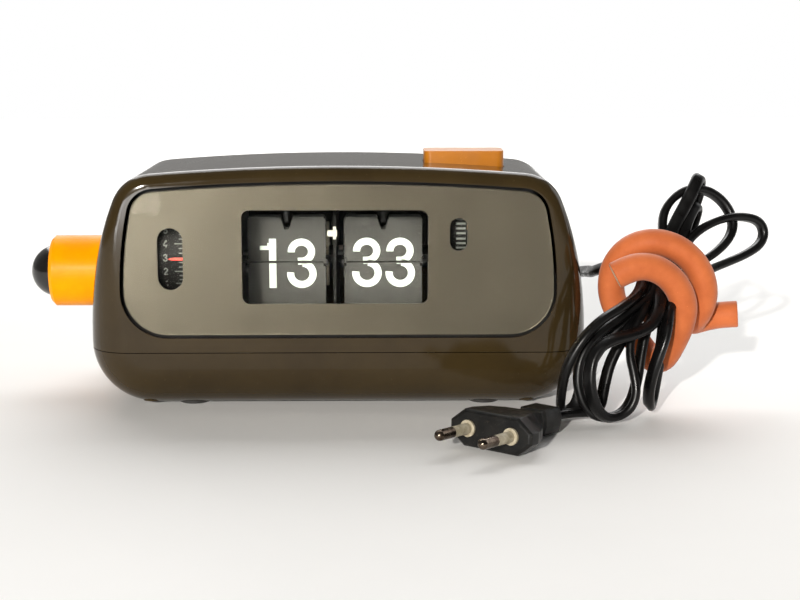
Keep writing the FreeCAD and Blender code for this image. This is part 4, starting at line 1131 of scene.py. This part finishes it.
def figure_quads(text: str, height: float, weight: float, step: float) -> list[Outline]:
    """Draw the strokes of a number as flat four-sided pieces.

    Args:
        text: the figures.
        height: their height in millimetres.
        weight: stroke width in the figures' own 20-high box.
        step: distance from one figure to the next, in millimetres.

    Returns:
        Pieces as four (x, y) corners in millimetres, from the first figure's left.
    """
    scale = height / FIGURE_BOX_HIGH
    quads: list[Outline] = []
    for place, figure in enumerate(text):
        for stroke in FIGURES[figure]:
            line = stroke.points()
            closed = stroke.rx > 0 and abs(stroke.end - stroke.start) >= 360
            sides = []
            for k, (x, y) in enumerate(line):
                before = line[k - 1] if k else (line[-2] if closed else line[0])
                after = line[k + 1] if k + 1 < len(line) else (line[1] if closed else line[-1])
                dx, dy = after[0] - before[0], after[1] - before[1]
                reach = math.hypot(dx, dy)
                half = weight * stroke.thin / 2
                nx, ny = -dy / reach * half, dx / reach * half
                sides.append(((x + nx, y + ny), (x - nx, y - ny)))
            for (a, b), (c, d) in zip(sides, sides[1:]):
                quads.append([(place * step + p[0] * scale, p[1] * scale) for p in (a, b, d, c)])
    return quads


def clip_level(quads: list[Outline], level: float, kept_half: Half) -> list[Outline]:
    """Cut flat pieces at a level and keep one side.

    Args:
        quads: the pieces.
        level: where to cut.
        kept_half: the side that stays.

    Returns:
        What is left of the pieces.
    """
    sign = kept_half.value
    kept = []
    for quad in quads:
        cut: Outline = []
        for here, there in zip(quad, quad[1:] + quad[:1]):
            h, t = sign * (here[1] - level), sign * (there[1] - level)
            if h >= 0:
                cut.append(here)
            if (h > 0 > t) or (h < 0 < t):
                share = h / (h - t)
                cut.append((here[0] + (there[0] - here[0]) * share, level))
        if len(cut) > 2:
            kept.append(cut)
    return kept


def printed(
    quads: list[Outline], onto: Callable[[float, float], Point], name: str
) -> bpy.types.Mesh:
    """Lay flat pieces onto a surface.

    Args:
        quads: pieces in millimetres.
        onto: turns (x, y) into a place in millimetres.
        name: the mesh's name.

    Returns:
        The mesh, its faces wound as the pieces were.
    """
    points: list[Vector] = []
    faces: list[list[int]] = []
    for quad in quads:
        faces.append([len(points) + k for k in range(len(quad))])
        points.extend(metres(*onto(x, y)) for x, y in quad)
    return mesh_of(name, points, faces)


def facing(mesh: bpy.types.Mesh, way: Callable[[Vector], Vector]) -> bpy.types.Mesh:
    """Turn each flat face to look the way that is right where it lies.

    Args:
        mesh: the printed pieces.
        way: gives the outward direction at a place, in metres.

    Returns:
        The same mesh.
    """
    form = bmesh.new()
    form.from_mesh(mesh)
    wrong = [f for f in form.faces if f.normal.dot(way(f.calc_center_median())) < 0]
    bmesh.ops.reverse_faces(form, faces=wrong)
    form.to_mesh(mesh)
    form.free()
    return mesh


@dataclass
class FlapCards:
    """The two-figure print on one set of flaps, split at the hinge.

    Attributes:
        name: the set, "hour" or "minute".
        shown: the number at rest.
        next_up: the number after the front card has fallen.
        left: the left end of the first figure's box.
        step: distance from one figure to the next.
        figure_high: height of the figures.
        weight: stroke width in the figures' own box.
        split: level of the hinge.
        gap: distance from the hinge level to the print's cut.
        ink: how far the print stands off its card.
        drop: how far the figures reach below the hinge.
    """

    name: str
    shown: str
    next_up: str
    left: float
    step: float
    figure_high: float = 19.9
    weight: float = 2.85
    split: float = 55.7
    gap: float = 0.55
    ink: float = 0.03
    drop: float = 10.2
    pin_clear: float = 6.0

    def build(self) -> None:
        """Print the flap in front, its back, the pack behind it and the fallen pack."""
        flap = f"{self.name}_flap"
        front, back = self.sheet_faces(f"{self.name}_flap_front")
        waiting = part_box(f"{self.name}_flaps_waiting")[0].y / MM
        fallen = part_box(f"{self.name}_flaps_fallen")[0].y / MM
        self.add_print("top", self.shown, Half.UPPER, front - self.ink, flap)
        self.add_print("back", self.next_up, Half.LOWER, back + self.ink, flap, turned=True)
        self.add_print("next", self.next_up, Half.UPPER, waiting - self.ink, CLOCK)
        self.add_print("low", self.shown, Half.LOWER, fallen - self.ink, CLOCK)

    def sheet_faces(self, node: str) -> tuple[float, float]:
        """Find a flap's two faces, away from its hinge pins.

        Args:
            node: the flap's CAD node.

        Returns:
            Depth of its front and back, in millimetres.
        """
        clear = (self.split + self.pin_clear) * MM
        high = [v.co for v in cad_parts[node].data.vertices if v.co.z > clear]
        return min(p.y for p in high) / MM, max(p.y for p in high) / MM

    def add_print(
        self, part: str, text: str, half: Half, depth: float, body: str, turned: bool = False
    ) -> None:
        """Print one half of a number.

        Args:
            part: ends the piece's name.
            text: the number.
            half: the half of it to print.
            depth: where its surface lies, in millimetres.
            body: the CAD body that it rides on.
            turned: whether it is upside down on the back of a card that will fall.
        """
        low = self.split - self.drop
        quads = figure_quads(text, self.figure_high, self.weight, self.step)
        quads = clip_level(quads, self.drop + half.value * self.gap, half)

        def onto(x: float, y: float) -> Point:
            """Place a point of the number on the card."""
            level = low + y
            return (self.left + x, depth, 2 * self.split - level if turned else level)

        mesh = printed(quads, onto, f"{self.name}_print_{part}")
        toward = Vector((0, 1, 0)) if turned else Vector((0, -1, 0))
        facing(mesh, lambda place: toward)
        new_piece(f"{self.name}_print_{part}", mesh, PRINT, body, smooth=False)


@dataclass
class DrumScale:
    """Marks round a drum on an axis along X."""

    name: str
    body: str
    slot: str
    node: str
    ink: float = 0.04
    # the marks default to white ink greyed with painted shade
    finish: Finish = SHADED_DRUM_PRINT

    def axis(self) -> tuple[float, float, float]:
        """Find the depth and level of the drum's axis and its radius, in millimetres."""
        low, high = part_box(self.node)
        return (low.y + high.y) / 2 / MM, (low.z + high.z) / 2 / MM, (high.z - low.z) / 2 / MM

    def add(self, part: str, quads: list[Outline]) -> None:
        """Wrap flat pieces round the drum.

        Args:
            part: ends the piece's name.
            quads: the pieces, x across the drum and y along its surface from the front.
        """
        depth, level, reach = self.axis()
        reach += self.ink

        def onto(x: float, y: float) -> Point:
            """Place a point on the drum's surface."""
            turn = y / reach
            return (x, depth - reach * math.cos(turn), level + reach * math.sin(turn))

        mesh = printed(quads, onto, f"{self.name}_{part}")
        facing(mesh, lambda place: Vector((0, place.y - depth * MM, place.z - level * MM)))
        new_piece(f"{self.name}_{part}", mesh, self.finish, self.body, smooth=False)


@dataclass
class CasePieces:
    """Small pieces that finish the case: a black sheet behind its vents, painted shade that keeps
    the inside dark, and the alarm pointer.
    """

    gauze_from: Point = (-47.0, 41.05, 43.0)
    gauze_to: Point = (47.0, 41.4, 77.5)
    pointer_left: float = -65.6
    pointer_tip: float = 1.6
    pointer_half: float = 0.5

    def build(self) -> None:
        """Add the black sheet of painted shade behind the vents, and the pointer."""
        # a matt black sheet behind the vents stands in for the shade inside the case
        mesh = block("vent_shade_sheet", self.gauze_from, self.gauze_to)
        new_piece("vent_shade_sheet", mesh, SHROUD, CLOCK, smooth=False)
        low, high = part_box("alarm_pointer")
        middle = (low.z + high.z) / 2 / MM
        right, shoulder = high.x / MM, self.pointer_left + self.pointer_tip
        under, over = middle - self.pointer_half, middle + self.pointer_half
        outline = (
            (self.pointer_left, middle), (shoulder, under), (right, under), (right, over),
            (shoulder, over),
        )
        corners = [metres(x, depth, z) for depth in (low.y / MM, high.y / MM) for x, z in outline]
        faces = [(0, 1, 2, 3, 4), (9, 8, 7, 6, 5)]
        faces += [(k, k + 5, (k + 1) % 5 + 5, (k + 1) % 5) for k in range(5)]
        mesh = outward(mesh_of("pointer_blade", corners, faces))
        new_piece("pointer_blade", mesh, RED_PRINT, CLOCK, ("alarm_pointer",), False)


def block(name: str, low: Point, high: Point) -> bpy.types.Mesh:
    """Make a plain closed block.

    Args:
        name: the mesh's name.
        low: its lowest corner, in millimetres.
        high: its highest corner, in millimetres.

    Returns:
        The block's mesh.
    """
    corners = [metres(x, y, z) for x, y, z in itertools.product(*zip(low, high))]
    faces = [(0, 1, 3, 2), (4, 6, 7, 5), (0, 4, 5, 1), (2, 3, 7, 6), (0, 2, 6, 4), (1, 5, 7, 3)]
    return outward(mesh_of(name, corners, faces))


def rect(left: float, right: float, middle: float, high: float) -> Outline:
    """Draw a flat level mark from left to right, high across its middle line."""
    return [
        (left, middle - high / 2), (right, middle - high / 2),
        (right, middle + high / 2), (left, middle + high / 2),
    ]


@dataclass
class AlarmScale(DrumScale):
    """Twenty-four hours round the alarm drum: figures at the left, marks at the right."""

    numeral_middle: float = -66.7
    numeral_high: float = 2.9
    numeral_weight: float = 3.4
    numeral_step: float = 1.95
    one_figure_wide: float = 2.1
    two_figures_wide: float = 3.9
    mark_right: float = -59.4
    long_mark: float = 4.0
    short_mark: float = 2.3
    mark_high: float = 0.42
    marks_an_hour: int = 3
    hours: int = 24
    set_hour: float = 3.0

    def build(self) -> None:
        """Wrap the figures and marks round the drum."""
        hour = 2 * math.pi * self.axis()[2] / self.hours
        figures: list[Outline] = []
        marks: list[Outline] = []
        for number in range(1, self.hours + 1):
            level = (number - self.set_hour) * hour
            text = str(number)
            wide = self.one_figure_wide if len(text) == 1 else self.two_figures_wide
            left, low = self.numeral_middle - wide / 2, level - self.numeral_high / 2
            for quad in figure_quads(
                text, self.numeral_high, self.numeral_weight, self.numeral_step
            ):
                figures.append([(x + left, y + low) for x, y in quad])
            for part in range(self.marks_an_hour):
                start = self.mark_right - (self.short_mark if part else self.long_mark)
                middle = level + part * hour / self.marks_an_hour
                marks.append(rect(start, self.mark_right, middle, self.mark_high))
        self.add("figures", figures)
        self.add("marks", marks)


@dataclass
class SecondsScale(DrumScale):
    """Sixty pale bars round the seconds wheel."""

    left: float = 46.2
    right: float = 49.8
    bar_high: float = 0.8
    bars: int = 60

    def build(self) -> None:
        """Wrap the bars round the wheel."""
        pitch = 2 * math.pi * self.axis()[2] / self.bars
        levels = [k * pitch for k in range(self.bars)]
        self.add("marks", [rect(self.left, self.right, level, self.bar_high) for level in levels])


# ---------------------------------------------------------------------------------------
# Finishes of the CAD's own pieces
# ---------------------------------------------------------------------------------------
CAD_FINISHES: tuple[tuple[Finish | Lens, tuple[str, ...]], ...] = (
    (CASE, ("lower_shell", "upper_shell")),
    (PANEL, ("front_panel",)),
    (SHROUD, ("window_shroud", "frame_middle", "hour_drum", "minute_drum", "alarm_drum",
              "seconds_wheel", "alarm_switch")),
    (FLAP, ("hour_flap_front", "hour_flaps_waiting", "hour_flaps_fallen", "minute_flap_front",
            "minute_flaps_waiting", "minute_flaps_fallen")),
    (CATCH, ("centre_catch", "terminal_block")),
    (ORANGE, ("alarm_knob",)),
    (BALL, ("time_knob",)),
    (RUBBER, ("rubber_feet", "strain_relief")),
    (PIN, ("plug_pins",)),
    (SLEEVE, ("plug_sleeves",)),
    (ACETAL, ("minute_gear", "hour_lay_shaft", "hour_gear", "alarm_drum_gear",
              "alarm_setting_tube")),
    (BRASS, ("train_wheel_a", "train_wheel_b", "seconds_arbor", "motor_pinion")),
    (COIL, ("motor_coil_cover", "buzzer_coil")),
    (BLUED, ("hour_hinge_carrier", "minute_hinge_carrier", "flap_hooks", "frame_posts")),
    (STEEL, ("case_screws", "chassis_floor", "frame_left", "frame_right", "frame_outer",
             "frame_screws", "drum_spindle", "motor_can", "alarm_arbor", "time_setting_rod",
             "buzzer_reed", "button_spring")),
)


def dress_cad() -> None:
    """Give every CAD node that stays in view its finish."""
    for finish, nodes in CAD_FINISHES:
        for node in nodes:
            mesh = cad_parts[node].data
            mesh.materials.clear()
            mesh.materials.append(finish.material())
        LOG.info("%s on %d CAD pieces", finish.name, len(nodes))


def main() -> None:
    """Build the camera, the lead, then the clock's looks, and report each piece."""
    logging.basicConfig(level=logging.INFO, format="%(name)s: %(message)s")
    Studio().build()
    tie = SiliconeTie().build()
    plug = MainsPlug().build()
    pins = [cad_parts[name] for name in ("plug_pins", "plug_sleeves")]
    MainsLead().build([tie, plug, *pins])
    dress_cad()
    CasePieces().build()
    eased_copy("panel_lens", "window_lens", 0.35, LENS, CLOCK)
    button = "alarm_stop_button"
    # the stop bar's darker orange is painted shade
    eased_copy(button, "stop_bar", 0.7, ORANGE_SHADED, button)
    FlapCards("hour", "13", "14", -33.9, 13.3, drop=10.5).build()
    FlapCards("minute", "33", "34", 5.4, 13.3).build()
    AlarmScale("alarm_scale", "alarm_drum", "drum_black", "alarm_drum").build()
    SecondsScale("seconds_scale", "seconds_train", "drum_black", "seconds_wheel").build()


if __name__ == "__main__":
    main()
